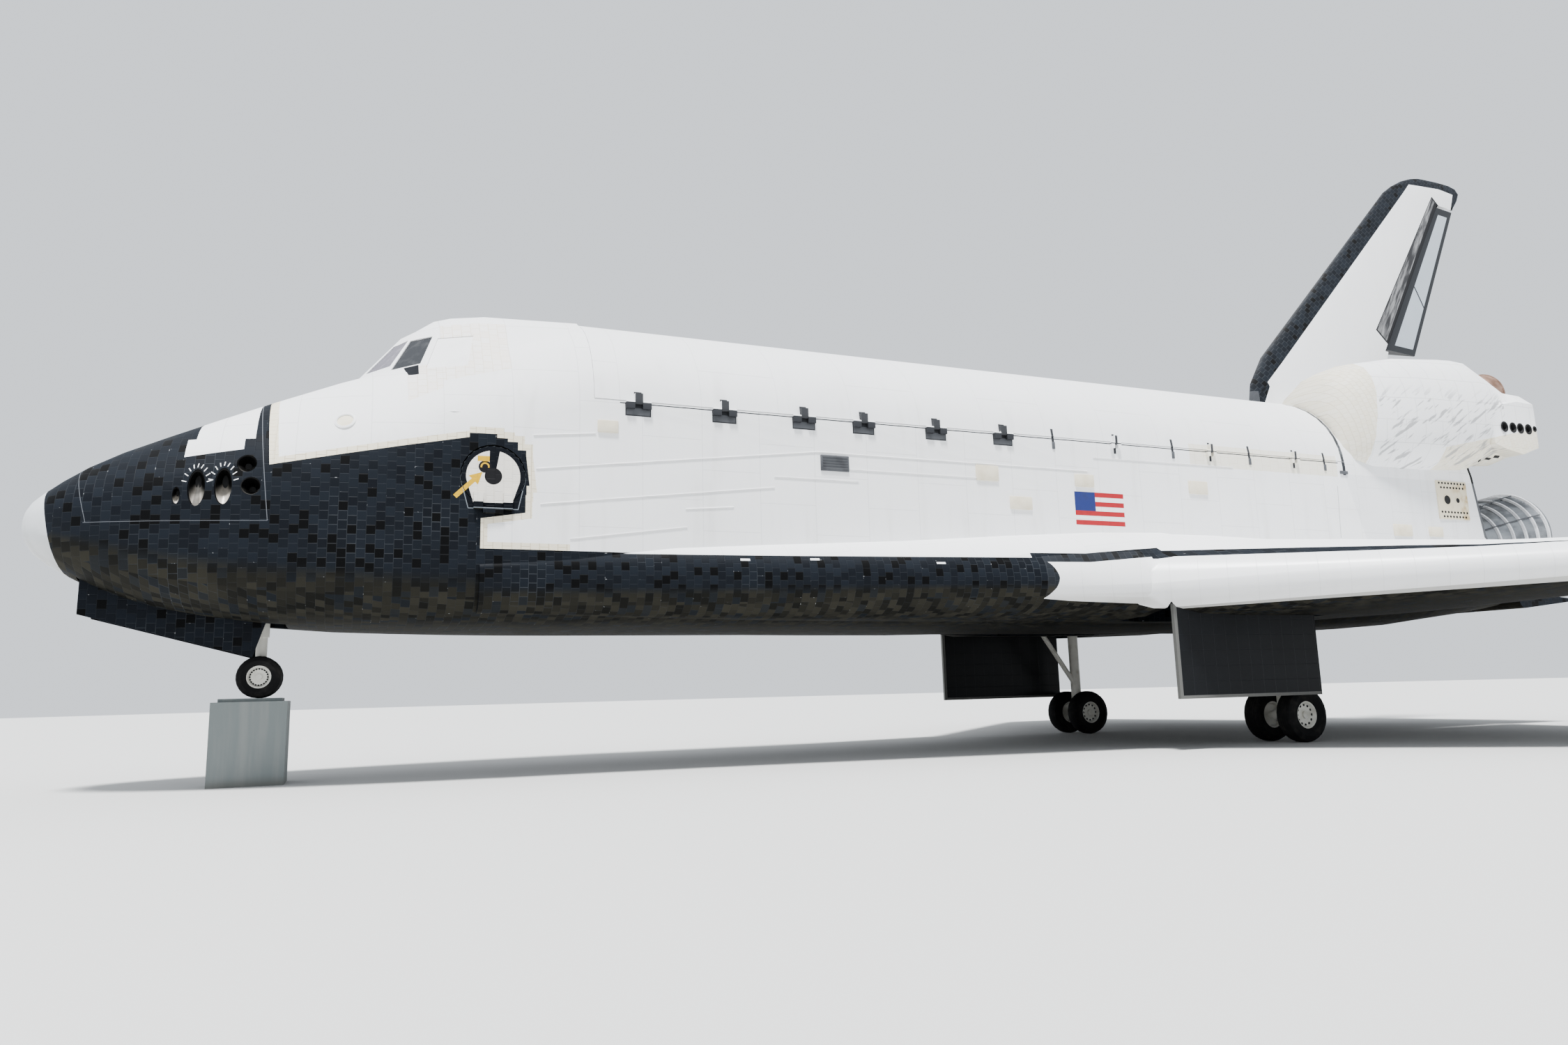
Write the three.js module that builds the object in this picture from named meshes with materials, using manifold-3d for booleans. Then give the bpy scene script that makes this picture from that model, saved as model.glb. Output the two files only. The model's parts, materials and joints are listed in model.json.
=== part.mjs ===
// A winged space shuttle orbiter at full size, parked on its landing gear, with its nose wheels on a plinth.
//
// The craft is laid out on a grid of inches: x is the station aft of a datum ahead of the nose, y is the
// distance to starboard of the centreline, and z is the height above a datum under the keel. Solids are
// made on that grid, and part() turns them into millimetres.

import * as THREE from 'three';
import { mergeVertices } from 'three/addons/utils/BufferGeometryUtils.js';
import Module from 'manifold-3d';

const wasm = await Module();
wasm.setup();

const INCH = 25.4;

// Clearances, in inches
const SEAT = 0.012;
const CLEAR = 0.25;

// Bounds of a cutter that reaches past the whole craft
const BEYOND = { ahead: 200, astern: 1800, side: 500, under: 150, over: 850 };

// Ground and plinth
const GROUND_Z = 164.25;
const PLINTH = { x: 373, length: 45.5, width: 44, height: 56.7, plate_length: 38, plate_width: 34, plate: 2.2 };

// Stations where the fuselage is split, and the height of the door sills
const CABIN_AFT = 582;
const BAY_AFT = 1307;
const HULL_END = 1540;
const SILL_Z = 420.5;

// Fuselage sections. Columns: station, half width, crown z, shoulder z, chine z, keel z, crown power, keel power
const HULL_SECTIONS = [
  [236, 1.5, 334.8, 333.3, 333, 331.5, 2, 2],
  [237, 8, 340.2, 333.6, 332.4, 326, 2, 2],
  [239.5, 16.5, 345, 334, 332, 320.2, 2, 2],
  [243.5, 25, 350, 335, 331, 314.6, 2, 2],
  [250, 34, 355.5, 335.5, 330, 309.2, 2, 2],
  [260, 43.5, 363.5, 336, 328, 302.8, 2, 2.1],
  [274, 52.5, 373.5, 337, 326, 295, 2, 2.2],
  [292, 61, 384, 338, 322, 286.8, 2, 2.3],
  [316, 70, 395.5, 339, 318, 279.3, 2, 2.5],
  [346, 79, 409.5, 341, 314, 273.6, 2, 2.7],
  [378, 87, 424, 344, 310, 269.7, 2, 3],
  [420, 95, 442, 352, 306, 267, 2, 3.2],
  [460, 99.5, 457, 366, 304, 266, 2, 3.4],
  [500, 102.3, 474, 385, 303, 265.3, 2, 3.6],
  [540, 104, 488.5, 402, 302, 265, 2, 3.8],
  [582, 105, 501.5, 415, 300, 265, 2, 4],
  [1307, 105, 501.5, 415, 300, 265, 2, 4],
  [1400, 106.5, 499, 415, 300, 267, 2, 4],
  [1480, 107.5, 488, 415, 302, 276, 2, 4],
  [1540, 108, 472, 412, 306, 284, 2, 4],
];
const CROWN_STEPS = 10;
const KEEL_STEPS = 6;

// The hollow of the crew cabin, with the same columns
const CABIN_HOLLOW = [
  [446, 60, 432, 384, 312, 296, 2, 3],
  [470, 82, 452, 392, 310, 292, 2, 3],
  [505, 91, 478, 402, 308, 290, 2, 3],
  [572, 94, 490, 408, 308, 290, 2, 3],
];
const CABIN_INSIDE = { front: 446, aft: 572, ceiling_aft: 571, roof_thickness: 6.5, brow_z: 432 };

// Windshield and cabin roof, as level rings. Columns: z, nose x, then x and y of the corners between the front
// and middle panes, the middle and side panes, and behind the side pane, and the half width at the cabin's end
const CABIN_ROOF = [
  [405, 395, 425, 50, 455, 84, 490, 98, 104],
  [442, 424.4, 447.7, 38.2, 470.1, 64.7, 500.9, 82, 94.8],
  [484, 459, 468, 18.5, 483, 34, 509, 49, 63.2],
  [495, 476, 481, 14, 492, 25, 515, 36, 43.9],
  [498.8, 492, 495, 11, 503, 18, 523, 25, 30.7],
  [500.8, 514, 516, 6, 522, 10, 535, 14, 17.6],
];

// Where each pane lies on its facet between the second and third ring, as shares of the facet's width and height
const PANES = [
  { name: 'windshield', corner: 0, across: [0.1, 0.9], up: [0.27, 0.83] },
  { name: 'middle_window', corner: 1, across: [0.06, 0.92], up: [0.14, 0.79] },
  { name: 'side_window_cover', corner: 2, across: [0.1, 0.95], up: [0.02, 0.73] },
];
const PANE = { thickness: 1.6, recess: 0.6, cut_out: 4, cut_in: 12 };

// The nose cap ends on a slanted plane, given at two heights
const CAP_EDGE = [[272.9, 250], [244.5, 392]];
const CAP_REACH = 290;

// Forward thruster ports on each side, as ovals. Columns: x, z, half length, half height
const SIDE_THRUSTERS = [
  [341, 350, 5, 12],
  [356, 351, 5, 12],
  [330, 345, 2.2, 5.5],
  [368.5, 366, 5.8, 5.8],
  [371.5, 351, 5.8, 5.8],
];
const SIDE_THRUSTER_BACK = 66;
// Forward thruster ports on top. Columns: x, y, radius
const TOP_THRUSTERS = [
  [340, 0, 4.8],
  [340, 15, 4.8],
  [340, -15, 4.8],
];
const TOP_THRUSTER_FLOOR = 396;

// Side hatch, in the port wall
const HATCH = {
  x: 515.5, z: 361.5, radius: 20.4, gap: 0.55, rise: 0.35, wall_y: -103.5, depth: 6, bore_y: -86,
  hinge_y: -105.2, hinge_drop: 1.6, knuckle: 0.8, middle_leaf: 6.5, hinge_half: 12.5,
};

// Payload bay
const BAY = { radius: 93, centre_z: 400, front: 590, aft: 1300, floor_z: 318, floor_half: 44, floor_depth: 23 };
const DOOR = { thickness: 5, hinge_y: 106.6, hinge_z: 419, knuckle: 1.3 };
// Door hinges. Columns: station, half length of the door's stem, half length of the whole hinge, stem height
const DOOR_HINGES = [
  [613, 2.8, 9, 5],
  [677, 2.8, 9, 5],
  [740, 2.8, 9, 5],
  [790, 2.8, 9, 5],
  [854, 2.8, 9, 5],
  [917, 2.8, 9, 5],
  [1031, 1.8, 5, 5],
  [1138, 1.8, 5, 5],
  [1240, 1.8, 5, 5],
];
const HINGE_LEAF_Y = 104.5;

// Wing ribs. Columns: y, leading edge x, trailing edge x, leading z, trailing z, depth below, height above
const WING_RIBS = [
  [90, 926, 1528, 291, 288.7, 24.5, 57],
  [167, 1003, 1511, 291.4, 289.4, 24, 40],
  [312, 1148, 1478, 292, 291.4, 17.5, 20.5],
  [440, 1276, 1448.6, 292.6, 292.4, 11, 12],
  [462, 1299, 1443.5, 292.7, 292.6, 7, 7.5],
  [468.3, 1313, 1438, 292.8, 292.8, 2.6, 2.8],
];
// A rib's outline, as shares of its chord, of its depth below and of its height above
const RIB_SHAPE = [
  [0, 0, 0],
  [0.006, 0.4, 0.236],
  [0.025, 0.76, 0.47],
  [0.07, 0.95, 0.73],
  [0.16, 1, 0.95],
  [0.33, 0.97, 0.97],
  [0.55, 0.82, 0.7],
  [0.78, 0.48, 0.42],
  [1, 0, 0],
];
const WING_EDGE = 0.5;

// Glove ahead of the wing. Columns: station, edge y, edge z, belly z, top z
const GLOVE_SECTIONS = [
  [508, 103.8, 300, 272, 308],
  [570, 106.5, 300, 271, 318],
  [640, 112.5, 299, 269.5, 324],
  [720, 122.5, 298.5, 268, 325.5],
  [820, 138, 298, 267.5, 330],
  [916, 153.3, 296.5, 267.5, 336.5],
  [1003, 167, 292, 269, 342],
  [1070, 172, 291.5, 270.5, 344],
  [1130, 172, 291.5, 273, 339],
];
const GLOVE_ROOT_Y = 88;

// The white leading edge starts at this station. How far it wraps back grows along the glove
const LEADING_EDGE = { start: 916, start_wrap: 6.5, glove_end: 1000, glove_wrap: 12, wing_wrap: 13.5 };

// Elevons. Columns: name, inner y, outer y
const ELEVON_HINGE = { x: 1387, z: 293, nose: 0.3 };
const ELEVONS = [
  ['inboard', 111.5, 311.4],
  ['outboard', 312.6, 458],
];
const ELEVON_LUGS = [0.2, 0.8];
// Bevels in the wing's skin ahead of the elevons' corners. Columns: where each starts on the nose's circle, ahead
// and above, and its slope
const ELEVON_BEVELS = [
  [0.6, 0.8, 0.32],
  [0.43, -0.9, -0.18],
];
const ELEVON_BEVEL_LENGTH = 90;

// Body flap
const FLAP = { x: 1534, z: 289, half_width: 112, nose: 8, edge_x: 1613, edge: 1.2, rise: 1, lug_y: 60, lug_half: 2 };

// Fin, as level rings. Columns: z, leading x, trailing x, half thickness
const FIN_RINGS = [
  [465, 1307.3, 1518, 13.4],
  [509, 1307.3, 1536, 13],
  [528, 1311, 1546, 12.6],
  [559, 1330, 1562, 12.2],
  [789, 1557, 1681, 5.6],
  [800, 1573, 1690, 5.2],
  [810, 1592, 1695, 4.4],
  [816, 1609, 1690, 3],
  [818.7, 1622, 1678, 1.5],
];
const FIN_THICKEST = 0.6;
// The fin's rear edge below the rudder, from the rudder's foot down to the fuselage
const FIN_STERN = [[1508, 540], [1474, 505], [1466, 460]];
// Rudder hinge line, with the panels' nose radius and chord at its two ends, and the radius of the core's rod
const RUDDER = {
  foot: [1524, 586], head: [1648, 783], foot_radius: 6.9, head_radius: 3.7, foot_chord: 46.4, head_chord: 26.4,
  core: 1.75, core_overrun: 8,
};
// Flat arms of the core between the two panels. Their length is a share of the panels' chord
const RUDDER_ARM = { shares: [0.14, 0.38, 0.62, 0.86], height: 26, half: 1.05, length: 0.6, room: 0.3 };
const BRAKE_OPEN = 49.3;

// Orbital manoeuvring pods. Columns: station, centre y, centre z, half width, half height
const POD_SECTIONS = [
  [1307.4, 58, 449, 38.5, 40],
  [1310.5, 60.5, 452.5, 41, 46],
  [1315, 64.5, 457, 42, 52],
  [1323, 70, 462, 43, 57],
  [1345, 77, 468, 44, 59.5],
  [1395, 83, 474, 47.5, 62],
  [1457, 86, 478.5, 50, 61.5],
  [1476, 87, 480, 51, 60.5],
  [1489, 87.5, 478, 51, 53.5],
  [1516, 89, 470.5, 50, 43],
  [1538, 90, 471.5, 47, 36.5],
  [1550, 90.5, 472, 45, 32],
];
const POD_STEPS = 20;
const POD_POWER = 2.4;
// Rear thruster housing on each pod. Columns: station, inner y, outer y, low z, high z
const HOUSING_SECTIONS = [
  [1484, 100, 136, 444, 488],
  [1496, 98, 139, 438, 496],
  [1521, 98, 139, 434, 501],
  [1546, 96, 139, 442, 500],
  [1557, 96, 133, 449, 497],
  [1569, 98, 124, 456, 488],
  [1576, 100, 118, 461, 477],
];
const HOUSING_BEVEL = 12;
// Ports in the housing's outer face. Columns: x, z, radius
const HOUSING_PORTS = [
  [1497, 461, 4.4],
  [1510, 461, 4.4],
  [1521.5, 461, 4.4],
  [1534, 461, 4.4],
  [1544, 462, 2],
];
const HOUSING_PORT_Y = { back: 131, front: 150 };

// Rocket nozzles. Each profile row: distance from the throat end, outer radius
const MAIN_BELL = { length: 107, wall: 1.6, hoop: 1.2, hoops: 4, sides: 20 };
const MAIN_PROFILE = [[0, 18.5], [12, 25], [28, 32], [50, 38], [76, 42.2], [107, 44.6]];
const POD_BELL = { length: 52, wall: 1, hoop: 0.8, hoops: 1, sides: 16 };
const POD_PROFILE = [[0, 7], [10, 12.5], [24, 17.4], [38, 20.4], [52, 22]];
// Columns: name, throat x, y, z, pitch up, yaw outboard in degrees
const MAIN_ENGINES = [
  ['upper', 1481, 0, 459, 16, 0],
  ['port', 1498, -57, 347, 10, -3.5],
  ['starboard', 1498, 57, 347, 10, 3.5],
];
// The dome ahead of each main bell, and the recess round the bell's throat
const BASE_DOME = { length: 40, radius: 30, mouth: 20.5 };
const THROAT_RECESS = { length: 14, radius: 23, mouth: 30 };
// The aft face, from its upper to its lower edge
const BASE_EDGE = [[1465, 540], [1483, 427], [1495, 355], [1534, 262]];
const POD_ENGINE = { x: 1502, y: 88, z: 498.8, pitch: 15.8, yaw: 0 };
// The open recess in the pod round its nozzle
const POD_RECESS = { length: 60, radius: 12.2, mouth: 29 };

// Landing gear
const NOSE_GEAR = {
  x: 377, leg_radius: 4.6, roof_z: 318, leg_foot: 262, fork: 3.6, axle: 1.9, boss: 3.4,
  tyre_radius: 14, tyre_width: 8.6, rim_radius: 7.6, track: 8.6, brace_x: 34, brace_radius: 2.2,
};
const NOSE_WELL = { front: 271, aft: 392, half: 21.5 };
const NOSE_DOOR = { front: 273, aft: 381, thickness: 2.2, hang: 22, tuck: 4 };
const MAIN_GEAR = {
  x: 1162, y: 136, leg_radius: 5.2, roof_z: 300, axle: 3, boss: 5.4,
  tyre_radius: 22.25, tyre_width: 15.6, rim_radius: 11.2, track: 17,
};
const MAIN_WELL = { front: 1016, aft: 1178, inner: 109, outer: 172 };
const MAIN_DOOR = { front: 1017.5, aft: 1166, top: 276, foot: 203, thickness: 3 };
const TYRE_SIDES = 26;

const STARBOARD = 1;
const PORT = -1;
const SIDES = [['port', PORT], ['starboard', STARBOARD]];

// Materials
const finish = (color, roughness, metalness = 0) => new THREE.MeshStandardMaterial({ color, roughness, metalness });
const white = finish(0xf1f1ee, 0.7);
const capGrey = finish(0xdfe2e3, 0.55);
const blackTile = finish(0x2b2e36, 0.6);
const glass = finish(0x22252c, 0.15);
const steel = finish(0x9a9da0, 0.4, 0.8);
const copper = finish(0x7a5c48, 0.5, 0.6);
const rubber = finish(0x191919, 0.9);
const hubWhite = finish(0xe6e6e2, 0.5, 0.2);
const plinthGrey = finish(0x7c8383, 0.85);

const craft = new THREE.Group();

// Solids

function signedVolume(positions, index) {
  let volume = 0;
  const a = new THREE.Vector3();
  const b = new THREE.Vector3();
  const c = new THREE.Vector3();
  for (let i = 0; i < index.length; i += 3) {
    a.fromArray(positions, index[i] * 3);
    b.fromArray(positions, index[i + 1] * 3);
    c.fromArray(positions, index[i + 2] * 3);
    volume += a.dot(b.cross(c)) / 6;
  }
  return volume;
}

function toSolid(geometry) {
  const bare = geometry.clone();
  bare.deleteAttribute('normal');
  bare.deleteAttribute('uv');
  const merged = mergeVertices(bare, 1e-4);
  const vertProperties = Float32Array.from(merged.attributes.position.array);
  const triVerts = Uint32Array.from(merged.index.array);
  if (signedVolume(vertProperties, triVerts) < 0) {
    triVerts.reverse();
  }
  return new wasm.Manifold(new wasm.Mesh({ numProp: 3, vertProperties, triVerts }));
}

// Rings are lists of [x, y, z] with the same number of points; flat names the two axes that a ring's end spans
function loft(rings, flat) {
  const count = rings[0].length;
  const positions = rings.flat(2);
  const index = [];
  for (let r = 0; r + 1 < rings.length; r += 1) {
    for (let i = 0; i < count; i += 1) {
      const a = r * count + i;
      const b = r * count + (i + 1) % count;
      index.push(a, b, b + count, a, b + count, a + count);
    }
  }
  const cap = (ring, offset, turned) => {
    const outline = ring.map((p) => new THREE.Vector2(p[flat[0]], p[flat[1]]));
    for (const [i, j, k] of THREE.ShapeUtils.triangulateShape(outline, [])) {
      index.push(...(turned ? [offset + k, offset + j, offset + i] : [offset + i, offset + j, offset + k]));
    }
  };
  // triangulateShape turns every triangle the same way, whichever way the outline turns
  const first = rings[0].map((p) => new THREE.Vector2(p[flat[0]], p[flat[1]]));
  const anticlockwise = THREE.ShapeUtils.area(first) > 0;
  cap(rings[0], 0, anticlockwise);
  cap(rings[rings.length - 1], (rings.length - 1) * count, !anticlockwise);
  const geometry = new THREE.BufferGeometry();
  geometry.setAttribute('position', new THREE.Float32BufferAttribute(positions, 3));
  geometry.setIndex(index);
  return toSolid(geometry);
}

function box(x0, x1, y0, y1, z0, z1) {
  const geometry = new THREE.BoxGeometry(x1 - x0, Math.abs(y1 - y0), z1 - z0);
  geometry.translate((x0 + x1) / 2, (y0 + y1) / 2, (z0 + z1) / 2);
  return toSolid(geometry);
}

const Y_AXIS = new THREE.Vector3(0, 1, 0);

function rod(from, to, startRadius, endRadius = startRadius, sides = 16) {
  const start = new THREE.Vector3(...from);
  const end = new THREE.Vector3(...to);
  const length = start.distanceTo(end);
  const geometry = new THREE.CylinderGeometry(endRadius, startRadius, length, sides);
  geometry.applyQuaternion(new THREE.Quaternion().setFromUnitVectors(Y_AXIS, end.clone().sub(start).normalize()));
  geometry.translate(...start.add(end).multiplyScalar(0.5).toArray());
  return toSolid(geometry);
}

// A closed profile of [radius, distance] turned about the line that leaves from in a direction
function turned(profile, from, direction, sides) {
  const points = profile.map(([radius, along]) => new THREE.Vector2(radius, along));
  const geometry = new THREE.LatheGeometry(points, sides);
  geometry.applyQuaternion(new THREE.Quaternion().setFromUnitVectors(Y_AXIS, direction));
  geometry.translate(...from);
  return toSolid(geometry);
}

// An outline of [x, z] points drawn out from one y to another
function prismY(outline, y0, y1) {
  return loft([outline.map(([x, z]) => [x, y0, z]), outline.map(([x, z]) => [x, y1, z])], [0, 2]);
}

function part(name, solid, material) {
  const mesh = solid.getMesh();
  const geometry = new THREE.BufferGeometry();
  const positions = Float32Array.from(mesh.vertProperties, (value) => value * INCH);
  geometry.setAttribute('position', new THREE.BufferAttribute(positions, 3));
  geometry.setIndex(new THREE.BufferAttribute(Uint32Array.from(mesh.triVerts), 1));
  geometry.computeVertexNormals();
  const piece = new THREE.Mesh(geometry, material);
  piece.name = name;
  craft.add(piece);
}

// Fuselage

function rowAt(rows, at) {
  const after = Math.min(Math.max(rows.findIndex((row) => row[0] >= at), 1), rows.length - 1);
  const [low, high] = [rows[after - 1], rows[after]];
  const share = (at - low[0]) / (high[0] - low[0]);
  return low.map((value, i) => value + (high[i] - value) * share);
}

function rowsBetween(rows, from, to) {
  return [rowAt(rows, from), ...rows.filter((row) => row[0] > from && row[0] < to), rowAt(rows, to)];
}

function hullRing([x, half, crown, shoulder, chine, keel, crownPower, keelPower], grow) {
  const wide = half + grow;
  const right = [];
  for (let i = 0; i <= KEEL_STEPS; i += 1) {
    const turn = (Math.PI / 2) * (i / KEEL_STEPS);
    const drop = (chine - keel + grow) * Math.cos(turn) ** (2 / keelPower);
    right.push([wide * Math.sin(turn) ** (2 / keelPower), chine - drop]);
  }
  for (let i = 0; i <= CROWN_STEPS; i += 1) {
    const turn = (Math.PI / 2) * (i / CROWN_STEPS);
    const rise = (crown - shoulder + grow) * Math.sin(turn) ** (2 / crownPower);
    right.push([wide * Math.cos(turn) ** (2 / crownPower), shoulder + rise]);
  }
  const left = right.slice(1, -1).reverse().map(([y, z]) => [-y, z]);
  return [...right, ...left].map(([y, z]) => [x, y, z]);
}

function hull(rows, from, to, grow = 0) {
  return loft(rowsBetween(rows, from, to).map((row) => hullRing(row, grow)), [1, 2]);
}

function roofPoints([, nose, x1, y1, x2, y2, x3, y3, aftHalf], inset, aft) {
  return [
    [nose + inset, 0],
    [x1 + inset, y1 - inset * 0.6],
    [x2 + inset * 0.7, y2 - inset * 0.8],
    [x3 + inset * 0.4, y3 - inset],
    [aft, aftHalf - inset],
  ];
}

function cabinRoof(inset, aft) {
  const rings = CABIN_ROOF.map((row) => {
    const right = roofPoints(row, inset, aft);
    const left = right.slice(1).reverse().map(([x, y]) => [x, -y]);
    return [...right, ...left].map(([x, y]) => [x, y, row[0] - inset]);
  });
  return loft(rings, [0, 1]);
}

// A pane's four corners on its facet of the windshield
function paneCorners({ corner, across, up }, side) {
  const level = (row) => roofPoints(row, 0, CABIN_AFT).map(([x, y]) => new THREE.Vector3(x, side * y, row[0]));
  const low = level(CABIN_ROOF[1]);
  const high = level(CABIN_ROOF[2]);
  const at = (a, u) => {
    const foot = low[corner].clone().lerp(low[corner + 1], a);
    return foot.lerp(high[corner].clone().lerp(high[corner + 1], a), u);
  };
  return [at(across[0], up[0]), at(across[1], up[0]), at(across[1], up[1]), at(across[0], up[1])];
}

// The corners drawn out along the facet's outward normal, after shrinking them about their middle
function paneSolid(corners, side, shrink, outer, inner) {
  const middle = corners.reduce((total, c) => total.add(c), new THREE.Vector3()).divideScalar(4);
  const normal = corners[2].clone().sub(corners[0]).cross(corners[3].clone().sub(corners[1])).normalize();
  if (normal.y * side < 0) {
    normal.negate();
  }
  const ring = (out) => corners.map((c) => {
    const shrunk = c.clone().lerp(middle, shrink);
    return shrunk.addScaledVector(normal, out).toArray();
  });
  return loft([ring(inner), ring(outer)], [1, 2]);
}

function capCutter(shift) {
  const edge = CAP_EDGE.map(([x, z]) => [x + shift, z]);
  const { ahead, side } = BEYOND;
  return prismY([[ahead, CAP_EDGE[0][1]], ...edge, [ahead, CAP_EDGE[1][1]]], -side, side);
}

function makeNoseCap() {
  part('nose_cap', hull(HULL_SECTIONS, HULL_SECTIONS[0][0], CAP_REACH).intersect(capCutter(0)), capGrey);
}

function hatchHinge(from, to, footZ, headZ, wall) {
  const { z, radius, hinge_y: y, hinge_drop: drop, knuckle } = HATCH;
  const pinZ = z - radius - drop;
  const leaf = box(from, to, y - knuckle, wall, pinZ + footZ, pinZ + headZ);
  return rod([from, y, pinZ], [to, y, pinZ], knuckle, knuckle, 12).add(leaf);
}

// An oval hole through the side wall
function sideThruster([x, z, halfLength, halfHeight], side) {
  const hole = rod([0, side * SIDE_THRUSTER_BACK, 0], [0, side * BEYOND.side, 0], 1, 1, 20);
  return hole.scale([halfLength, 1, halfHeight]).translate([x, 0, z]);
}

function makeForwardFuselage() {
  let body = hull(HULL_SECTIONS, HULL_SECTIONS[0][0], CABIN_AFT).add(cabinRoof(0, CABIN_AFT - 0.5));
  body = body.subtract(capCutter(SEAT));
  const { front: from, aft: to, ceiling_aft: ceilingAft, roof_thickness: thickness, brow_z: browZ } = CABIN_INSIDE;
  const brow = box(BEYOND.ahead, from, -BEYOND.side, BEYOND.side, BEYOND.under, browZ);
  const hollow = hull(CABIN_HOLLOW, from, to).add(cabinRoof(thickness, ceilingAft).subtract(brow));
  body = body.subtract(hollow);
  for (const [, side] of SIDES) {
    for (const thruster of SIDE_THRUSTERS) {
      body = body.subtract(sideThruster(thruster, side));
    }
    for (const pane of PANES) {
      body = body.subtract(paneSolid(paneCorners(pane, side), side, 0, PANE.cut_out, -PANE.cut_in));
    }
  }
  for (const [x, y, radius] of TOP_THRUSTERS) {
    body = body.subtract(rod([x, y, TOP_THRUSTER_FLOOR], [x, y, BEYOND.over], radius));
  }
  const { front, aft, half } = NOSE_WELL;
  body = body.subtract(box(front, aft, -half, half, BEYOND.under, NOSE_GEAR.roof_z));
  const { x, z, radius, gap, rise, bore_y: boreY, middle_leaf: leaf } = HATCH;
  body = body.subtract(rod([x, -BEYOND.side, z + rise], [x, boreY, z + rise], radius + gap, radius + gap, 28));
  body = body.add(hatchHinge(x - leaf, x + leaf, -3, 0, -101));
  part('forward_fuselage', body, blackTile);
}

function makeSideHatch() {
  const { x, z, radius, wall_y: wallY, depth, hinge_y: hingeY, knuckle, middle_leaf: leaf, hinge_half: half } = HATCH;
  const disc = rod([x, -BEYOND.side, z], [x, wallY + depth, z], radius, radius, 28);
  let hatch = hull(HULL_SECTIONS, x - 30, x + 30).intersect(disc);
  for (const [from, to] of [[x - half, x - leaf - SEAT], [x + leaf + SEAT, x + half]]) {
    hatch = hatch.add(hatchHinge(from, to, 0, 7, -103.9));
    hatch = hatch.add(box(from, to, hingeY - knuckle, -101, z - radius + 5, z - radius + 9));
  }
  part('side_hatch', hatch, blackTile);
}

function makePanes() {
  for (const [label, side] of SIDES) {
    for (const pane of PANES) {
      const { thickness, recess } = PANE;
      const solid = paneSolid(paneCorners(pane, side), side, 0.002, -recess, -recess - thickness);
      part(`${pane.name}_${label}`, solid, pane.name.includes('cover') ? white : glass);
    }
  }
}

// Payload bay doors and their hinges

function doorHingePiece(side, from, to, low, high, wall) {
  const { hinge_y: y, hinge_z: z, knuckle } = DOOR;
  const barrel = rod([from, side * y, z], [to, side * y, z], knuckle, knuckle, 8);
  return barrel.add(box(from, to, side * (y + knuckle), side * wall, z + low, z + high));
}

function makeMidFuselage() {
  const { radius, centre_z: centre, front, aft, floor_z: floorZ, floor_half: floorHalf, floor_depth: floorDepth } = BAY;
  let body = hull(HULL_SECTIONS, CABIN_AFT + SEAT, BAY_AFT - SEAT);
  const { ahead, astern, side: reach, over } = BEYOND;
  body = body.subtract(box(ahead, astern, -reach, reach, SILL_Z - CLEAR, over));
  body = body.subtract(rod([front, 0, centre], [aft, 0, centre], radius, radius, 44));
  body = body.subtract(box(front, aft, -radius, radius, centre, over));
  body = body.add(box(front - 1, aft + 1, -floorHalf, floorHalf, floorZ - floorDepth, floorZ));
  for (const [, side] of SIDES) {
    for (const [x, stem, whole] of DOOR_HINGES) {
      body = body.add(doorHingePiece(side, x - whole, x - stem - SEAT, -4.5, 0, HINGE_LEAF_Y));
      body = body.add(doorHingePiece(side, x + stem + SEAT, x + whole, -4.5, 0, HINGE_LEAF_Y));
    }
  }
  part('mid_fuselage', body, white);
}

function doorRing(x, side) {
  const [, half, crown, shoulder] = rowAt(HULL_SECTIONS, x);
  const arc = (inset) => {
    const wide = half - inset;
    const tall = crown - shoulder - inset;
    const first = Math.asin((SILL_Z - shoulder) / tall);
    const last = Math.acos(CLEAR / 2 / wide);
    const points = [];
    for (let i = 0; i <= CROWN_STEPS; i += 1) {
      const turn = first + (last - first) * (i / CROWN_STEPS);
      points.push([x, side * wide * Math.cos(turn), shoulder + tall * Math.sin(turn)]);
    }
    return points;
  };
  return [...arc(0), ...arc(DOOR.thickness).reverse()];
}

function makePayloadDoor(label, side) {
  let door = loft([doorRing(CABIN_AFT + CLEAR, side), doorRing(BAY_AFT - CLEAR, side)], [1, 2]);
  for (const [x, stem, , height] of DOOR_HINGES) {
    door = door.add(doorHingePiece(side, x - stem, x + stem, 0, 2.5, 105.3));
    door = door.add(box(x - stem, x + stem, side * (DOOR.hinge_y + DOOR.knuckle), side * 102.5,
      SILL_Z + 0.4, SILL_Z + height));
  }
  part(`payload_door_${label}`, door, white);
}

// Wing

function ribRing([y, leadX, trailX, leadZ, trailZ, below, above], side) {
  const point = (share, offset) => {
    const x = leadX + (trailX - leadX) * share;
    const line = leadZ + (trailZ - leadZ) * share;
    return [x, side * y, line + offset + Math.sign(offset) * WING_EDGE * share];
  };
  const top = RIB_SHAPE.map(([share, , up]) => point(share, Math.max(above * up, 1e-6)));
  const bottom = RIB_SHAPE.slice(1).reverse().map(([share, down]) => point(share, Math.min(-below * down, -1e-6)));
  return [...top, ...bottom];
}

function gloveRing([x, edgeY, edgeZ, bellyZ, topZ], side) {
  const reach = edgeY - GLOVE_ROOT_Y;
  const points = [];
  for (let i = 0; i <= 8; i += 1) {
    const turn = (Math.PI / 2) * (i / 8);
    const y = GLOVE_ROOT_Y + reach * Math.sin(turn) ** 0.8;
    points.push([x, side * y, edgeZ - (edgeZ - bellyZ) * Math.cos(turn) ** 0.8]);
  }
  for (let i = 1; i <= 6; i += 1) {
    const turn = (Math.PI / 2) * (i / 6);
    points.push([x, side * (GLOVE_ROOT_Y + reach * Math.cos(turn)), edgeZ + (topZ - edgeZ) * Math.sin(turn)]);
  }
  return points;
}

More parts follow.
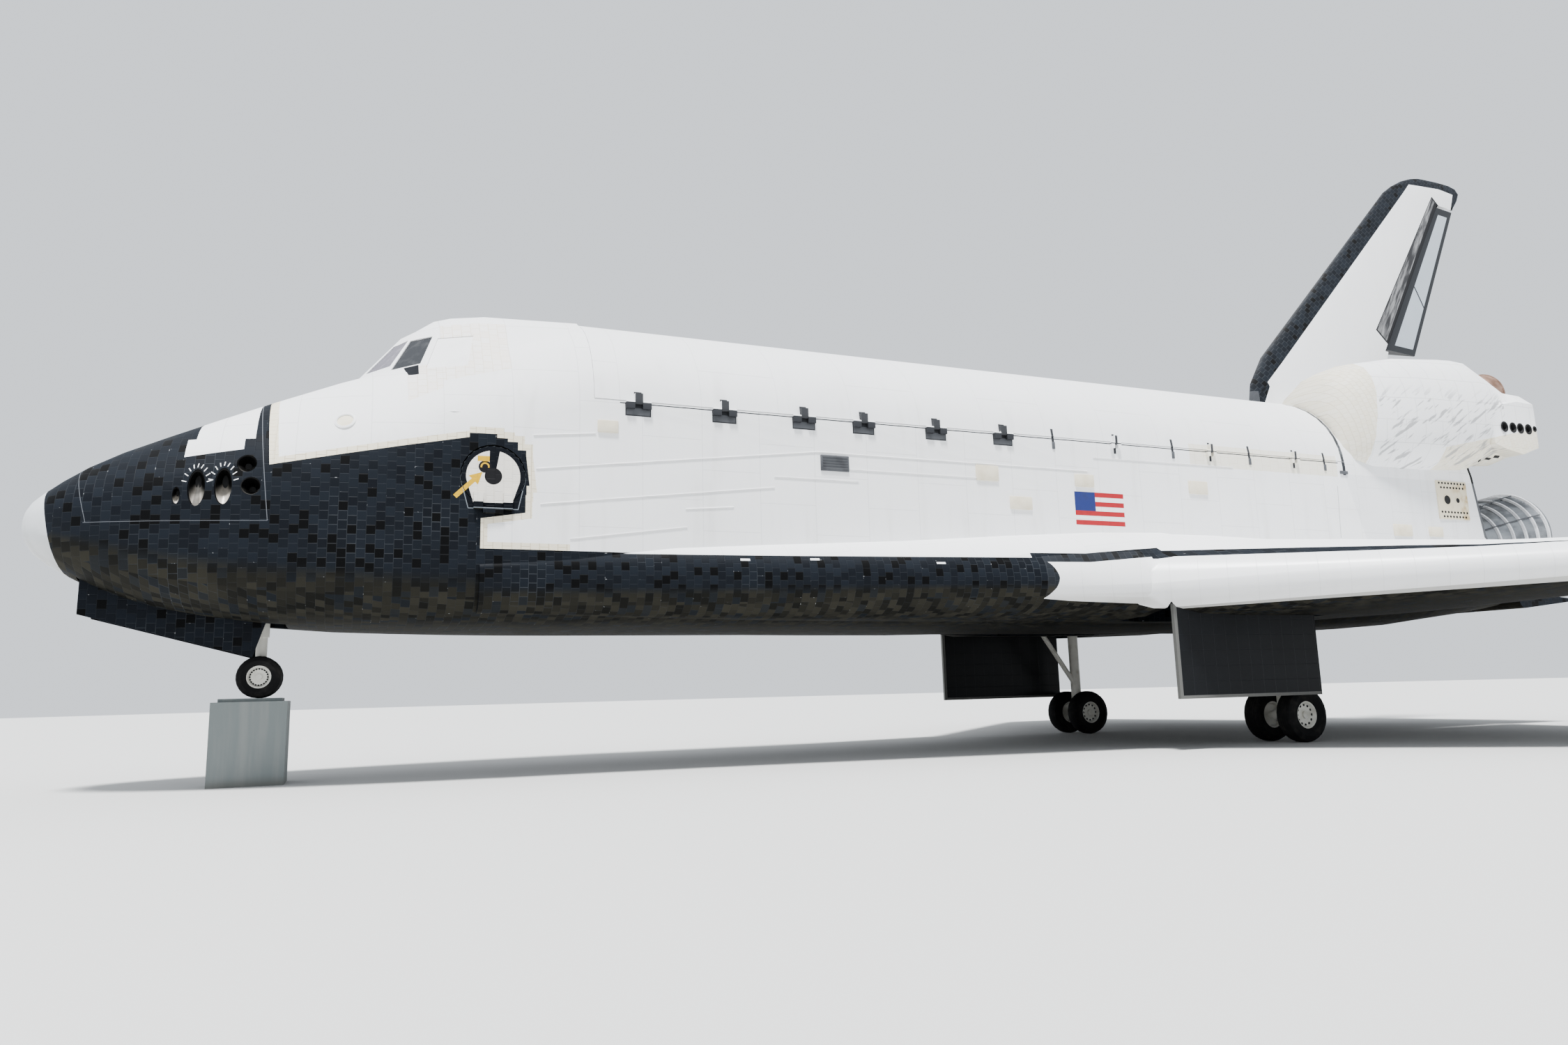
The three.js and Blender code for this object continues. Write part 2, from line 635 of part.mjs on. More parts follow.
// Half the wing's thickness at the elevon hinge, less the step down to the elevon's nose
function elevonNose(y) {
  const [, leadX, trailX, leadZ, trailZ, below, above] = rowAt(WING_RIBS, y);
  const share = (ELEVON_HINGE.x - leadX) / (trailX - leadX);
  const [, belly, top] = rowAt(RIB_SHAPE, share);
  const line = leadZ + (trailZ - leadZ) * share;
  const up = line + above * top - ELEVON_HINGE.z;
  const down = ELEVON_HINGE.z - (line - below * belly);
  return Math.min(up, down) - ELEVON_HINGE.nose;
}

function edgeRegion(side, shift) {
  const { start, start_wrap: startWrap, glove_end: gloveEnd } = LEADING_EDGE;
  const { glove_wrap: gloveWrap, wing_wrap: wingWrap } = LEADING_EDGE;
  const edgeY = (x) => rowAt(GLOVE_SECTIONS, x)[1];
  const wingX = (y) => rowAt(WING_RIBS, y)[1] + wingWrap * Math.SQRT2;
  const outline = [
    [start - shift, edgeY(start) - startWrap - shift],
    [gloveEnd, edgeY(gloveEnd) - gloveWrap - shift],
    [wingX(170) + shift, 170],
    [wingX(330) + shift, 330],
    [wingX(462) + shift, 462],
    [wingX(462) + 60, 500],
    [start + 60, 500],
    [start - shift, 260],
  ];
  const at = (z) => outline.map(([x, y]) => [x, side * y, z]);
  return loft([at(BEYOND.under), at(BEYOND.over)], [0, 1]);
}

// Where the nose's taper changes between two places along the hinge
function hingeStations(from, to) {
  return [from, ...WING_RIBS.map((rib) => rib[0]).filter((y) => y > from && y < to), to];
}

function elevonBevel(y, side, [ahead, above, slope]) {
  const room = elevonNose(y) + CLEAR;
  const [x, z] = [ELEVON_HINGE.x - ahead * room, ELEVON_HINGE.z + above * room];
  const [far, away] = [x - ELEVON_BEVEL_LENGTH, z + Math.sign(above) * 80];
  const astern = ELEVON_HINGE.x + 1;
  return [[x, z], [far, z + slope * ELEVON_BEVEL_LENGTH], [far, away], [astern, away], [astern, z]]
    .map(([px, pz]) => [px, side * y, pz]);
}

function elevonLug(y, side, reach) {
  const { x, z } = ELEVON_HINGE;
  const radius = elevonNose(y) * 0.45;
  const disc = rod([x, side * (y - 2), z], [x, side * (y + 2), z], radius, radius, 16);
  return disc.add(box(x - reach, x, side * (y - 2), side * (y + 2), z - radius * 0.7, z + radius * 0.7));
}

function lugPlaces(inner, outer) {
  return ELEVON_LUGS.map((share) => inner + (outer - inner) * share);
}

function makeWing(label, side) {
  const { x, z } = ELEVON_HINGE;
  const fuselage = hull(HULL_SECTIONS, GLOVE_SECTIONS[0][0] - 18, HULL_END, SEAT);
  let wing = loft(WING_RIBS.map((rib) => ribRing(rib, side)), [0, 2]);
  wing = wing.add(loft(GLOVE_SECTIONS.map((row) => gloveRing(row, side)), [1, 2]));
  wing = wing.subtract(fuselage);
  const edge = wing.intersect(edgeRegion(side, 0));
  wing = wing.subtract(edgeRegion(side, SEAT));
  const lastOuter = ELEVONS[ELEVONS.length - 1][2] + CLEAR * 2;
  wing = wing.subtract(box(x, BEYOND.astern, 0, side * lastOuter, BEYOND.under, BEYOND.over));
  for (const [, inner, outer] of ELEVONS) {
    const from = inner === ELEVONS[0][1] ? WING_RIBS[0][0] : inner - CLEAR * 3;
    const stations = hingeStations(from, outer + CLEAR * 2);
    for (let i = 0; i + 1 < stations.length; i += 1) {
      const [near, far] = [stations[i], stations[i + 1]];
      wing = wing.subtract(rod([x, side * near, z], [x, side * far, z], elevonNose(near) + CLEAR,
        elevonNose(far) + CLEAR, 32));
    }
    for (const bevel of ELEVON_BEVELS) {
      wing = wing.subtract(loft(stations.map((y) => elevonBevel(y, side, bevel)), [0, 2]));
    }
  }
  for (const [, inner, outer] of ELEVONS) {
    for (const y of lugPlaces(inner, outer)) {
      wing = wing.add(elevonLug(y, side, elevonNose(y) + 6));
    }
  }
  const { front, aft, inner, outer } = MAIN_WELL;
  const well = box(front, aft, side * inner, side * outer, BEYOND.under, MAIN_GEAR.roof_z);
  part(`wing_${label}`, wing.subtract(well), white);
  part(`leading_edge_${label}`, edge.subtract(well), white);
}

function elevonRing(y, side) {
  const [, , trailX, , trailZ] = rowAt(WING_RIBS, y);
  const { x, z } = ELEVON_HINGE;
  const radius = elevonNose(y);
  const points = [];
  for (let i = 0; i <= 10; i += 1) {
    const turn = Math.PI * (0.5 + i / 10);
    points.push([x + radius * Math.cos(turn), side * y, z + radius * Math.sin(turn)]);
  }
  return [...points, [trailX, side * y, trailZ - WING_EDGE], [trailX, side * y, trailZ + WING_EDGE]];
}

function makeElevon(place, inner, outer, label, side) {
  const { x } = ELEVON_HINGE;
  let elevon = loft(hingeStations(inner, outer).map((y) => elevonRing(y, side)), [0, 2]);
  for (const y of lugPlaces(inner, outer)) {
    const nose = elevonNose(y);
    const reach = nose * 0.45 + CLEAR;
    elevon = elevon.subtract(box(x - nose - 2, x + reach, side * (y - 2 - SEAT), side * (y + 2 + SEAT),
      BEYOND.under, BEYOND.over));
  }
  part(`elevon_${place}_${label}`, elevon, white);
}

// Tail

function finRing([z, leadX, trailX, half]) {
  const chord = trailX - leadX;
  const right = [
    [leadX, 0],
    [leadX + chord * 0.012, half * 0.2],
    [leadX + chord * 0.06, half * 0.42],
    [leadX + chord * 0.25, half * 0.72],
    [leadX + chord * FIN_THICKEST, half],
    [trailX, 0.5],
  ];
  const left = right.slice(1).reverse().map(([x, y]) => [x, -y]);
  return [...right, ...left].map(([x, y]) => [x, y, z]);
}

// The rudder's own frame: its third axis runs up the hinge line and its first points aft of it
const hingeFoot = new THREE.Vector3(RUDDER.foot[0], 0, RUDDER.foot[1]);
const hingeHead = new THREE.Vector3(RUDDER.head[0], 0, RUDDER.head[1]);
const hingeLength = hingeFoot.distanceTo(hingeHead);
const hingeUp = hingeHead.clone().sub(hingeFoot).normalize();
const hingeAft = new THREE.Vector3(hingeUp.z, 0, -hingeUp.x);

function fromHinge(aft, y, up) {
  const place = hingeFoot.clone().addScaledVector(hingeAft, aft).addScaledVector(hingeUp, up);
  return [place.x, y, place.z];
}

function rudderRadius(up) {
  return RUDDER.foot_radius + (RUDDER.head_radius - RUDDER.foot_radius) * (up / hingeLength);
}

function rudderChord(up) {
  return RUDDER.foot_chord + (RUDDER.head_chord - RUDDER.foot_chord) * (up / hingeLength);
}

const RUDDER_OVERRUN = 60;
const RUDDER_HEAD_GAP = 3.4;
const RUDDER_FOOT_GAP = 1.6;
// The way that a panel's outer face points when it is spread and turned as far as it goes
const SPREAD_FACE = [0.93, 0.3665];

// Room beside the hinge for a panel that is spread and turned at once
function panelBevel(up, side) {
  const room = rudderRadius(up) + CLEAR;
  const [ahead, beside] = SPREAD_FACE;
  const far = 9;
  return [[-ahead * room, beside * room], [(beside * far - room) / ahead, far], [0.5, far], [0.5, beside * room]]
    .map(([aft, y]) => fromHinge(aft, side * y, up));
}

function makeFin() {
  let fin = loft(FIN_RINGS.map(finRing), [0, 1]);
  fin = fin.subtract(hull(HULL_SECTIONS, BAY_AFT, HULL_END, SEAT));
  const cove = rod(fromHinge(0, 0, -RUDDER_OVERRUN), fromHinge(0, 0, hingeLength + RUDDER_OVERRUN),
    rudderRadius(-RUDDER_OVERRUN) + CLEAR, rudderRadius(hingeLength + RUDDER_OVERRUN) + CLEAR, 32);
  const [foot, head] = [RUDDER.foot, RUDDER.head];
  const slope = (head[0] - foot[0]) / (head[1] - foot[1]);
  const behind = prismY([[foot[0] - slope * 60, foot[1] - 60], [1800, foot[1] - 60], [1800, head[1] + 60],
    [head[0] + slope * 60, head[1] + 60]], -40, 40);
  const band = box(1400, 1800, -40, 40, foot[1] - RUDDER_FOOT_GAP, head[1] + RUDDER_HEAD_GAP);
  let room = cove.add(behind);
  for (const [, side] of SIDES) {
    const ends = [-RUDDER_OVERRUN, hingeLength + RUDDER_OVERRUN];
    room = room.add(loft(ends.map((up) => panelBevel(up, side)), [0, 1]));
  }
  fin = fin.subtract(room.intersect(band));
  const sternFoot = FIN_STERN[FIN_STERN.length - 1][1];
  const stern = prismY([[foot[0], foot[1] + 0.1], ...FIN_STERN, [BEYOND.astern, sternFoot],
    [BEYOND.astern, foot[1] + 0.1]], -40, 40);
  fin = fin.subtract(stern);
  const { core, core_overrun: overrun } = RUDDER;
  const bore = boreFor(core, 16) + 0.01;
  fin = fin.subtract(rod(fromHinge(0, 0, -overrun - SEAT), fromHinge(0, 0, hingeLength + overrun + SEAT), bore));
  part('vertical_tail', fin, white);
}

// An arm of the core, or the pocket for it when given room
function rudderArm(share, room) {
  const { height, half, length } = RUDDER_ARM;
  const middle = hingeLength * share;
  const ring = (up) => {
    const reach = rudderChord(up) * length + room;
    return [[0, -half - room], [reach, -half - room], [reach, half + room], [0, half + room]]
      .map(([aft, y]) => fromHinge(aft, y, up));
  };
  return loft([ring(middle - height / 2 - room), ring(middle + height / 2 + room)], [0, 1]);
}

function makeRudderCore() {
  const { core: radius, core_overrun: overrun } = RUDDER;
  let core = rod(fromHinge(0, 0, -overrun), fromHinge(0, 0, hingeLength + overrun), radius);
  for (const share of RUDDER_ARM.shares) {
    core = core.add(rudderArm(share, 0));
  }
  part('rudder_core', core, steel);
}

// The panel's nose stops short of the front, so that the two noses don't meet as the panels spread
const NOSE_END = Math.PI - (BRAKE_OPEN + 6) * (Math.PI / 180);

function rudderRing(side, up) {
  const radius = rudderRadius(up);
  const inner = RUDDER.core + CLEAR;
  const split = CLEAR / 2;
  const start = Math.asin(split / inner);
  const points = [];
  for (let i = 0; i <= 6; i += 1) {
    const turn = start + (NOSE_END - start) * (i / 6);
    points.push([inner * Math.cos(turn), inner * Math.sin(turn)]);
  }
  for (let i = 0; i <= 4; i += 1) {
    const turn = NOSE_END + (Math.PI / 2 - NOSE_END) * (i / 4);
    points.push([radius * Math.cos(turn), radius * Math.sin(turn)]);
  }
  points.push([rudderChord(up), split + 0.5], [rudderChord(up), split]);
  return points.map(([aft, y]) => fromHinge(aft, side * y, up));
}

function makeRudderPanel(label, side) {
  let panel = loft([rudderRing(side, -RUDDER_OVERRUN), rudderRing(side, hingeLength + RUDDER_OVERRUN)], [0, 1]);
  panel = panel.intersect(box(1300, 1800, -40, 40, RUDDER.foot[1] + CLEAR * 2, RUDDER.head[1] - CLEAR));
  for (const share of RUDDER_ARM.shares) {
    panel = panel.subtract(rudderArm(share, RUDDER_ARM.room));
  }
  part(`rudder_panel_${label}`, panel, white);
}

function engineAxis(pitch, yaw) {
  const [up, out] = [THREE.MathUtils.degToRad(pitch), THREE.MathUtils.degToRad(yaw)];
  return new THREE.Vector3(Math.cos(up) * Math.cos(out), Math.cos(up) * Math.sin(out), Math.sin(up));
}

function baseCutter() {
  const [upper, lower] = [BASE_EDGE[0], BASE_EDGE[BASE_EDGE.length - 1]];
  const { astern, side } = BEYOND;
  return prismY([...BASE_EDGE, [astern, lower[1]], [astern, upper[1]]], -side, side);
}

function makeAftFuselage() {
  let body = hull(HULL_SECTIONS, BAY_AFT, HULL_END).subtract(baseCutter());
  for (const [, x, y, z, pitch, yaw] of MAIN_ENGINES) {
    const axis = engineAxis(pitch, yaw);
    const at = (along) => new THREE.Vector3(x, y, z).addScaledVector(axis, along).toArray();
    body = body.add(rod(at(-BASE_DOME.length), at(-SEAT), BASE_DOME.radius, BASE_DOME.mouth, 24));
    body = body.subtract(rod(at(-SEAT), at(THROAT_RECESS.length), THROAT_RECESS.radius, THROAT_RECESS.mouth, 24));
  }
  const noseRoom = FLAP.nose + CLEAR;
  body = body.subtract(rod([FLAP.x, -BEYOND.side, FLAP.z], [FLAP.x, BEYOND.side, FLAP.z], noseRoom, noseRoom, 32));
  for (const [, side] of SIDES) {
    body = body.add(flapLug(side * FLAP.lug_y));
  }
  part('aft_fuselage', body, white);
}

function flapLug(y) {
  const { x, z, nose, lug_half: half } = FLAP;
  const radius = nose * 0.5;
  const disc = rod([x, y - half, z], [x, y + half, z], radius, radius, 16);
  return disc.add(box(x - nose - 10, x, y - half, y + half, z - radius * 0.7, z + radius * 0.7));
}

function makeBodyFlap() {
  const ring = (y) => {
    const points = [];
    for (let i = 0; i <= 10; i += 1) {
      const turn = Math.PI * (0.5 + i / 10);
      points.push([FLAP.x + FLAP.nose * Math.cos(turn), y, FLAP.z + FLAP.nose * Math.sin(turn)]);
    }
    const edgeZ = FLAP.z + FLAP.rise;
    return [...points, [FLAP.edge_x, y, edgeZ - FLAP.edge], [FLAP.edge_x, y, edgeZ + FLAP.edge]];
  };
  let flap = loft([ring(-FLAP.half_width), ring(FLAP.half_width)], [0, 2]);
  for (const [, side] of SIDES) {
    const y = side * FLAP.lug_y;
    const half = FLAP.lug_half + SEAT;
    const slotEnd = FLAP.x + FLAP.nose * 0.5 + CLEAR;
    flap = flap.subtract(box(FLAP.x - 20, slotEnd, y - half, y + half, BEYOND.under, BEYOND.over));
  }
  part('body_flap', flap, blackTile);
}

// Nozzles

function bellProfile(rows, { length, wall, hoop, hoops }) {
  const radiusAt = (along) => rowAt(rows, along)[1];
  const outer = rows.map(([along, radius]) => [radius, along]);
  for (let i = 1; i <= hoops; i += 1) {
    const along = length * (i / (hoops + 0.5));
    const next = outer.findIndex((point) => point[1] > along - 1);
    outer.splice(next, 0, [radiusAt(along - 1), along - 1], [radiusAt(along) + hoop, along],
      [radiusAt(along + 1), along + 1]);
  }
  const inner = rows.slice().reverse().map(([along, radius]) => [radius - wall, Math.max(along, 3)]);
  return [[0, 0], ...outer, ...inner, [0, 3]];
}

function bell(rows, sizes, from, axis) {
  return turned(bellProfile(rows, sizes), from, axis, sizes.sides);
}

function makeMainEngines() {
  for (const [name, x, y, z, pitch, yaw] of MAIN_ENGINES) {
    part(`main_engine_${name}`, bell(MAIN_PROFILE, MAIN_BELL, [x, y, z], engineAxis(pitch, yaw)), steel);
  }
}

// Manoeuvring pods

function podRing([x, y, z, wide, tall], side) {
  const points = [];
  for (let i = 0; i < POD_STEPS; i += 1) {
    const turn = 2 * Math.PI * (i / POD_STEPS);
    const reach = (value, size) => Math.sign(value) * Math.abs(value) ** (2 / POD_POWER) * size;
    points.push([x, side * (y + reach(Math.cos(turn), wide)), z + reach(Math.sin(turn), tall)]);
  }
  return points;
}

function housingRing([x, inner, outer, low, high], side) {
  const ring = [[inner, low], [outer, low], [outer, high - HOUSING_BEVEL], [outer - HOUSING_BEVEL, high], [inner, high]];
  return ring.map(([y, z]) => [x, side * y, z]);
}

function makePod(label, side) {
  let pod = loft(POD_SECTIONS.map((row) => podRing(row, side)), [1, 2]);
  pod = pod.add(loft(HOUSING_SECTIONS.map((row) => housingRing(row, side)), [1, 2]));
  const { x: throatX, y: throatY, z: throatZ, pitch, yaw } = POD_ENGINE;
  const axis = engineAxis(pitch, side * yaw);
  const throat = new THREE.Vector3(throatX, side * throatY, throatZ);
  const recessEnd = throat.clone().addScaledVector(axis, POD_RECESS.length).toArray();
  const recessFloor = throat.clone().addScaledVector(axis, -SEAT).toArray();
  pod = pod.subtract(rod(recessFloor, recessEnd, POD_RECESS.radius, POD_RECESS.mouth, 20));
  pod = pod.subtract(hull(HULL_SECTIONS, BAY_AFT, HULL_END, SEAT));
  for (const [x, z, portRadius] of HOUSING_PORTS) {
    const { back, front } = HOUSING_PORT_Y;
    pod = pod.subtract(rod([x, side * back, z], [x, side * front, z], portRadius, portRadius, 14));
  }
  part(`manoeuvring_pod_${label}`, pod, white);
  part(`manoeuvring_nozzle_${label}`, bell(POD_PROFILE, POD_BELL, throat.toArray(), axis), copper);
}

// Landing gear

function tyreSolid(centre, radius, width, rim) {
  const half = width / 2;
  const profile = [
    [rim + SEAT, -half * 0.75], [radius * 0.78, -half], [radius * 0.95, -half * 0.78],
    [radius, -half * 0.4], [radius, half * 0.4], [radius * 0.95, half * 0.78], [radius * 0.78, half],
    [rim + SEAT, half * 0.75], [rim + SEAT, -half * 0.75],
  ];
  return turned(profile, centre, Y_AXIS, TYRE_SIDES);
}

// One wheel's rim, dished on both faces
function rimSolid(centre, rim, width) {
  const half = width * 0.34;
  const profile = [
    [0, -half + rim * 0.2], [rim * 0.78, -half + rim * 0.2], [rim * 0.9, -half], [rim, -half],
    [rim, half], [rim * 0.9, half], [rim * 0.78, half - rim * 0.2], [0, half - rim * 0.2],
  ];
  return turned(profile, centre, Y_AXIS, TYRE_SIDES);
}

function boreFor(radius, sides) {
  return radius / Math.cos(Math.PI / sides) + SEAT;
}

function makeNoseGear() {
  const gear = NOSE_GEAR;
  const axleZ = GROUND_Z + PLINTH.height + SEAT + gear.tyre_radius;
  const leg = rod([gear.x, 0, gear.leg_foot], [gear.x, 0, gear.roof_z - SEAT], gear.leg_radius);
  const brace = rod([gear.x - 2, 0, 270], [gear.x - gear.brace_x, 0, gear.roof_z - 3], gear.brace_radius,
    gear.brace_radius, 12);
  part('nose_gear_leg', leg.add(brace), hubWhite);
  let fork = rod([gear.x, 0, axleZ], [gear.x, 0, gear.leg_foot - SEAT], gear.fork);
  fork = fork.add(rod([gear.x, -3.8, axleZ], [gear.x, 3.8, axleZ], gear.boss, gear.boss, 24));
  const bore = boreFor(gear.axle, 24);
  fork = fork.subtract(rod([gear.x, -9, axleZ], [gear.x, 9, axleZ], bore, bore, 24));
  part('nose_gear_fork', fork, hubWhite);
  const reach = gear.track + gear.tyre_width * 0.3;
  let hub = rod([gear.x, -reach, axleZ], [gear.x, reach, axleZ], gear.axle, gear.axle, 24);
  for (const [label, side] of SIDES) {
    const centre = [gear.x, side * gear.track, axleZ];
    hub = hub.add(rimSolid(centre, gear.rim_radius, gear.tyre_width));
    part(`nose_tyre_${label}`, tyreSolid(centre, gear.tyre_radius, gear.tyre_width, gear.rim_radius), rubber);
  }
  part('nose_wheels', hub, hubWhite);
  for (const [label, side] of SIDES) {
    const { front, aft, thickness, hang, tuck } = NOSE_DOOR;
    const keel = (x) => hullKeelAt(x, NOSE_WELL.half);
    const outline = [
      [front, keel(front) + tuck], [front, keel(front) - hang], [aft - 8, keel(aft) - hang], [aft, keel(aft) + tuck],
    ];
    const outer = side * (NOSE_WELL.half - SEAT);
    part(`nose_gear_door_${label}`, prismY(outline, outer, outer - side * thickness), blackTile);
  }
}

// Height of the fuselage's underside at a distance from the centreline
function hullKeelAt(x, y) {
  const [, half, , , chine, keel, , power] = rowAt(HULL_SECTIONS, x);
  return chine - (chine - keel) * (1 - (y / half) ** power) ** (1 / power);
}

function makeMainGear(label, side) {
  const gear = MAIN_GEAR;
  const y = side * gear.y;
  const axleZ = GROUND_Z + gear.tyre_radius;
  let leg = rod([gear.x, y, axleZ], [gear.x, y, gear.roof_z - SEAT], gear.leg_radius);
  leg = leg.add(rod([gear.x, y - 8, axleZ], [gear.x, y + 8, axleZ], gear.boss, gear.boss, 24));
  leg = leg.add(rod([gear.x - 2, y, 218], [gear.x - 58, y, gear.roof_z - 4], 2.6, 2.6, 12));
  const bore = boreFor(gear.axle, 24);
  leg = leg.subtract(rod([gear.x, y - 12, axleZ], [gear.x, y + 12, axleZ], bore, bore, 24));
  part(`main_gear_leg_${label}`, leg, hubWhite);
  const reach = gear.track + gear.tyre_width * 0.3;
  let hub = rod([gear.x, y - reach, axleZ], [gear.x, y + reach, axleZ], gear.axle, gear.axle, 24);
  for (const [place, out] of [['inner', -side], ['outer', side]]) {
    const centre = [gear.x, y + out * gear.track, axleZ];
    hub = hub.add(rimSolid(centre, gear.rim_radius, gear.tyre_width));
    part(`main_tyre_${place}_${label}`, tyreSolid(centre, gear.tyre_radius, gear.tyre_width, gear.rim_radius), rubber);
  }
  part(`main_wheels_${label}`, hub, hubWhite);
  const { front, aft, top, foot, thickness } = MAIN_DOOR;
  const outer = MAIN_WELL.outer - SEAT;
  part(`main_gear_door_${label}`, box(front, aft, side * outer, side * (outer - thickness), foot, top), blackTile);
}

function makePlinth() {
  const { x, length, width, height, plate_length: plateLength, plate_width: plateWidth, plate } = PLINTH;
  const top = GROUND_Z + height;
  const block = box(x - length / 2, x + length / 2, -width / 2, width / 2, GROUND_Z, top - plate);
  const cover = box(x - plateLength / 2, x + plateLength / 2, -plateWidth / 2, plateWidth / 2, top - plate - 1, top);
  part('nose_plinth', block.add(cover), plinthGrey);
}

makeNoseCap();
makeForwardFuselage();
makePanes();
makeSideHatch();
makeMidFuselage();
makeAftFuselage();
for (const [label, side] of SIDES) {
  makePayloadDoor(label, side);
  makeWing(label, side);
  for (const [place, inner, outer] of ELEVONS) {
    makeElevon(place, inner, outer, label, side);
  }
  makePod(label, side);
  makeMainGear(label, side);
  makeRudderPanel(label, side);
}
makeFin();
makeRudderCore();
makeBodyFlap();
makeMainEngines();
makeNoseGear();
makePlinth();

// The origin lies on the ground, under the middle of the craft's length and width
const extent = new THREE.Box3().setFromObject(craft);
craft.position.set(-(extent.min.x + extent.max.x) / 2, 0, -extent.min.z);
craft.updateMatrixWorld(true);

export default craft;
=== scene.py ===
"""Looks of a winged orbiter that is parked on its landing gear, with its nose wheels on a plinth.

Places are given on the same grid as the solids: inches, with x the station aft of a datum ahead of the
nose, y to starboard of the centreline and z above a datum under the keel. Grid turns them into metres.
"""

from __future__ import annotations

import json
import logging
import math
from dataclasses import dataclass
from enum import Enum
from typing import Any, Sequence, Union

import bmesh
import bpy
from mathutils import Matrix, Vector
from mathutils.bvhtree import BVHTree

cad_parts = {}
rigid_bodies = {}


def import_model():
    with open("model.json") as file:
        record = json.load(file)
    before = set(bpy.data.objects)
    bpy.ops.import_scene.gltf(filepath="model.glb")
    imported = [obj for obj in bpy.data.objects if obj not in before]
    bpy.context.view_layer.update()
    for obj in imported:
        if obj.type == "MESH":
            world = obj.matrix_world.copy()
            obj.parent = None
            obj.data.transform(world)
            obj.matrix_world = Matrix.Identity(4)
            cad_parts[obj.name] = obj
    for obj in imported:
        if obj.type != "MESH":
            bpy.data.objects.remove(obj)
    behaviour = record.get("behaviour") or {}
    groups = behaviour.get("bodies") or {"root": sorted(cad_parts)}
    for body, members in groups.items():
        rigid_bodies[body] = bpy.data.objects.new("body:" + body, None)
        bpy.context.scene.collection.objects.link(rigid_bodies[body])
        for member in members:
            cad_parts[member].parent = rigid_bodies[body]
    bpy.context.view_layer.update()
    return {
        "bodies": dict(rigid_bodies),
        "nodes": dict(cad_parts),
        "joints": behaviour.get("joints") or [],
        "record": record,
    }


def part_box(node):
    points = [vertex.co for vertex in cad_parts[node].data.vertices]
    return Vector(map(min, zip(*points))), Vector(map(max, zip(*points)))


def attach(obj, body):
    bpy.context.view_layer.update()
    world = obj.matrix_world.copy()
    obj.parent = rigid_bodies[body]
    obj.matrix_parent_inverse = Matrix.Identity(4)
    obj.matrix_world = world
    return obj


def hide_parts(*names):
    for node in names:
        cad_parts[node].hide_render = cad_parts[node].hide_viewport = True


LOG = logging.getLogger("orbiter")
INCH = 0.0254
Colour = tuple[float, float, float]
Number = Union[float, "Wire"]
Point = tuple[float, float, float]


class Side(Enum):
    """The two sides of the craft, with the sign of their y."""

    port = -1
    starboard = 1


class Grid:
    """The grid of inches that the craft is laid out on."""

    X0 = 965.5
    GROUND = 164.25

    @classmethod
    def at(cls, x: float, y: float, z: float) -> Vector:
        """A place on the grid as a point in metres."""
        return Vector(((x - cls.X0) * INCH, y * INCH, (z - cls.GROUND) * INCH))


class Wire:
    """One value in a material's nodes, with arithmetic that adds the nodes it needs."""

    def __init__(self, paint: "Paint", socket: bpy.types.NodeSocket) -> None:
        """Keeps the socket that gives the value, and the paint that it belongs to."""
        self.paint = paint
        self.socket = socket

    def __add__(self, other: Number) -> "Wire":
        """The sum of two values."""
        return self.paint.math("ADD", self, other)

    __radd__ = __add__

    def __sub__(self, other: Number) -> "Wire":
        """This value less another."""
        return self.paint.math("SUBTRACT", self, other)

    def __rsub__(self, other: Number) -> "Wire":
        """Another value less this one."""
        return self.paint.math("SUBTRACT", other, self)

    def __mul__(self, other: Number) -> "Wire":
        """The product of two values, and of two masks the part that they share."""
        return self.paint.math("MULTIPLY", self, other)

    __rmul__ = __mul__

    def __truediv__(self, other: Number) -> "Wire":
        """This value divided by another."""
        return self.paint.math("DIVIDE", self, other)

    def __or__(self, other: Number) -> "Wire":
        """The larger of two values, and of two masks the two together."""
        return self.paint.math("MAXIMUM", self, other)

    def __gt__(self, other: Number) -> "Wire":
        """A mask of where this value is the larger."""
        return self.paint.math("GREATER_THAN", self, other)

    def __lt__(self, other: Number) -> "Wire":
        """A mask of where this value is the smaller."""
        return self.paint.math("LESS_THAN", self, other)

    def least(self, other: Number) -> "Wire":
        """The smaller of two values."""
        return self.paint.math("MINIMUM", self, other)

    def size(self) -> "Wire":
        """The value without its sign."""
        return self.paint.math("ABSOLUTE", self)

    def floor(self) -> "Wire":
        """The whole number below the value."""
        return self.paint.math("FLOOR", self)

    def fraction(self) -> "Wire":
        """What the value has above its whole number."""
        return self.paint.math("FRACT", self)

    def root(self) -> "Wire":
        """The square root."""
        return self.paint.math("SQRT", self)

    def between(self, low: Number, high: Number) -> "Wire":
        """A mask of where the value lies between two others."""
        return (self > low) * (self < high)

    def ease(self, low: float, high: float) -> "Wire":
        """Turns the value into a smooth step.

        Args:
            low: Where the step is 0.
            high: Where the step is 1.

        Returns:
            A wire from 0 to 1.
        """
        node = self.paint.node(
            "ShaderNodeMapRange",
            {"interpolation_type": "SMOOTHSTEP"},
            {"Value": self, "From Min": low, "From Max": high, "To Min": 0.0, "To Max": 1.0},
        )
        return Wire(self.paint, node.outputs["Result"])


@dataclass
class Tiles:
    """What a tile pattern gives at a point.

    Attributes:
        seam: 1 on the joints between tiles and 0 inside them.
        tone: A number from 0 to 1 that is the same all over one tile.
        other: A second such number.
    """

    seam: Wire
    tone: Wire
    other: Wire


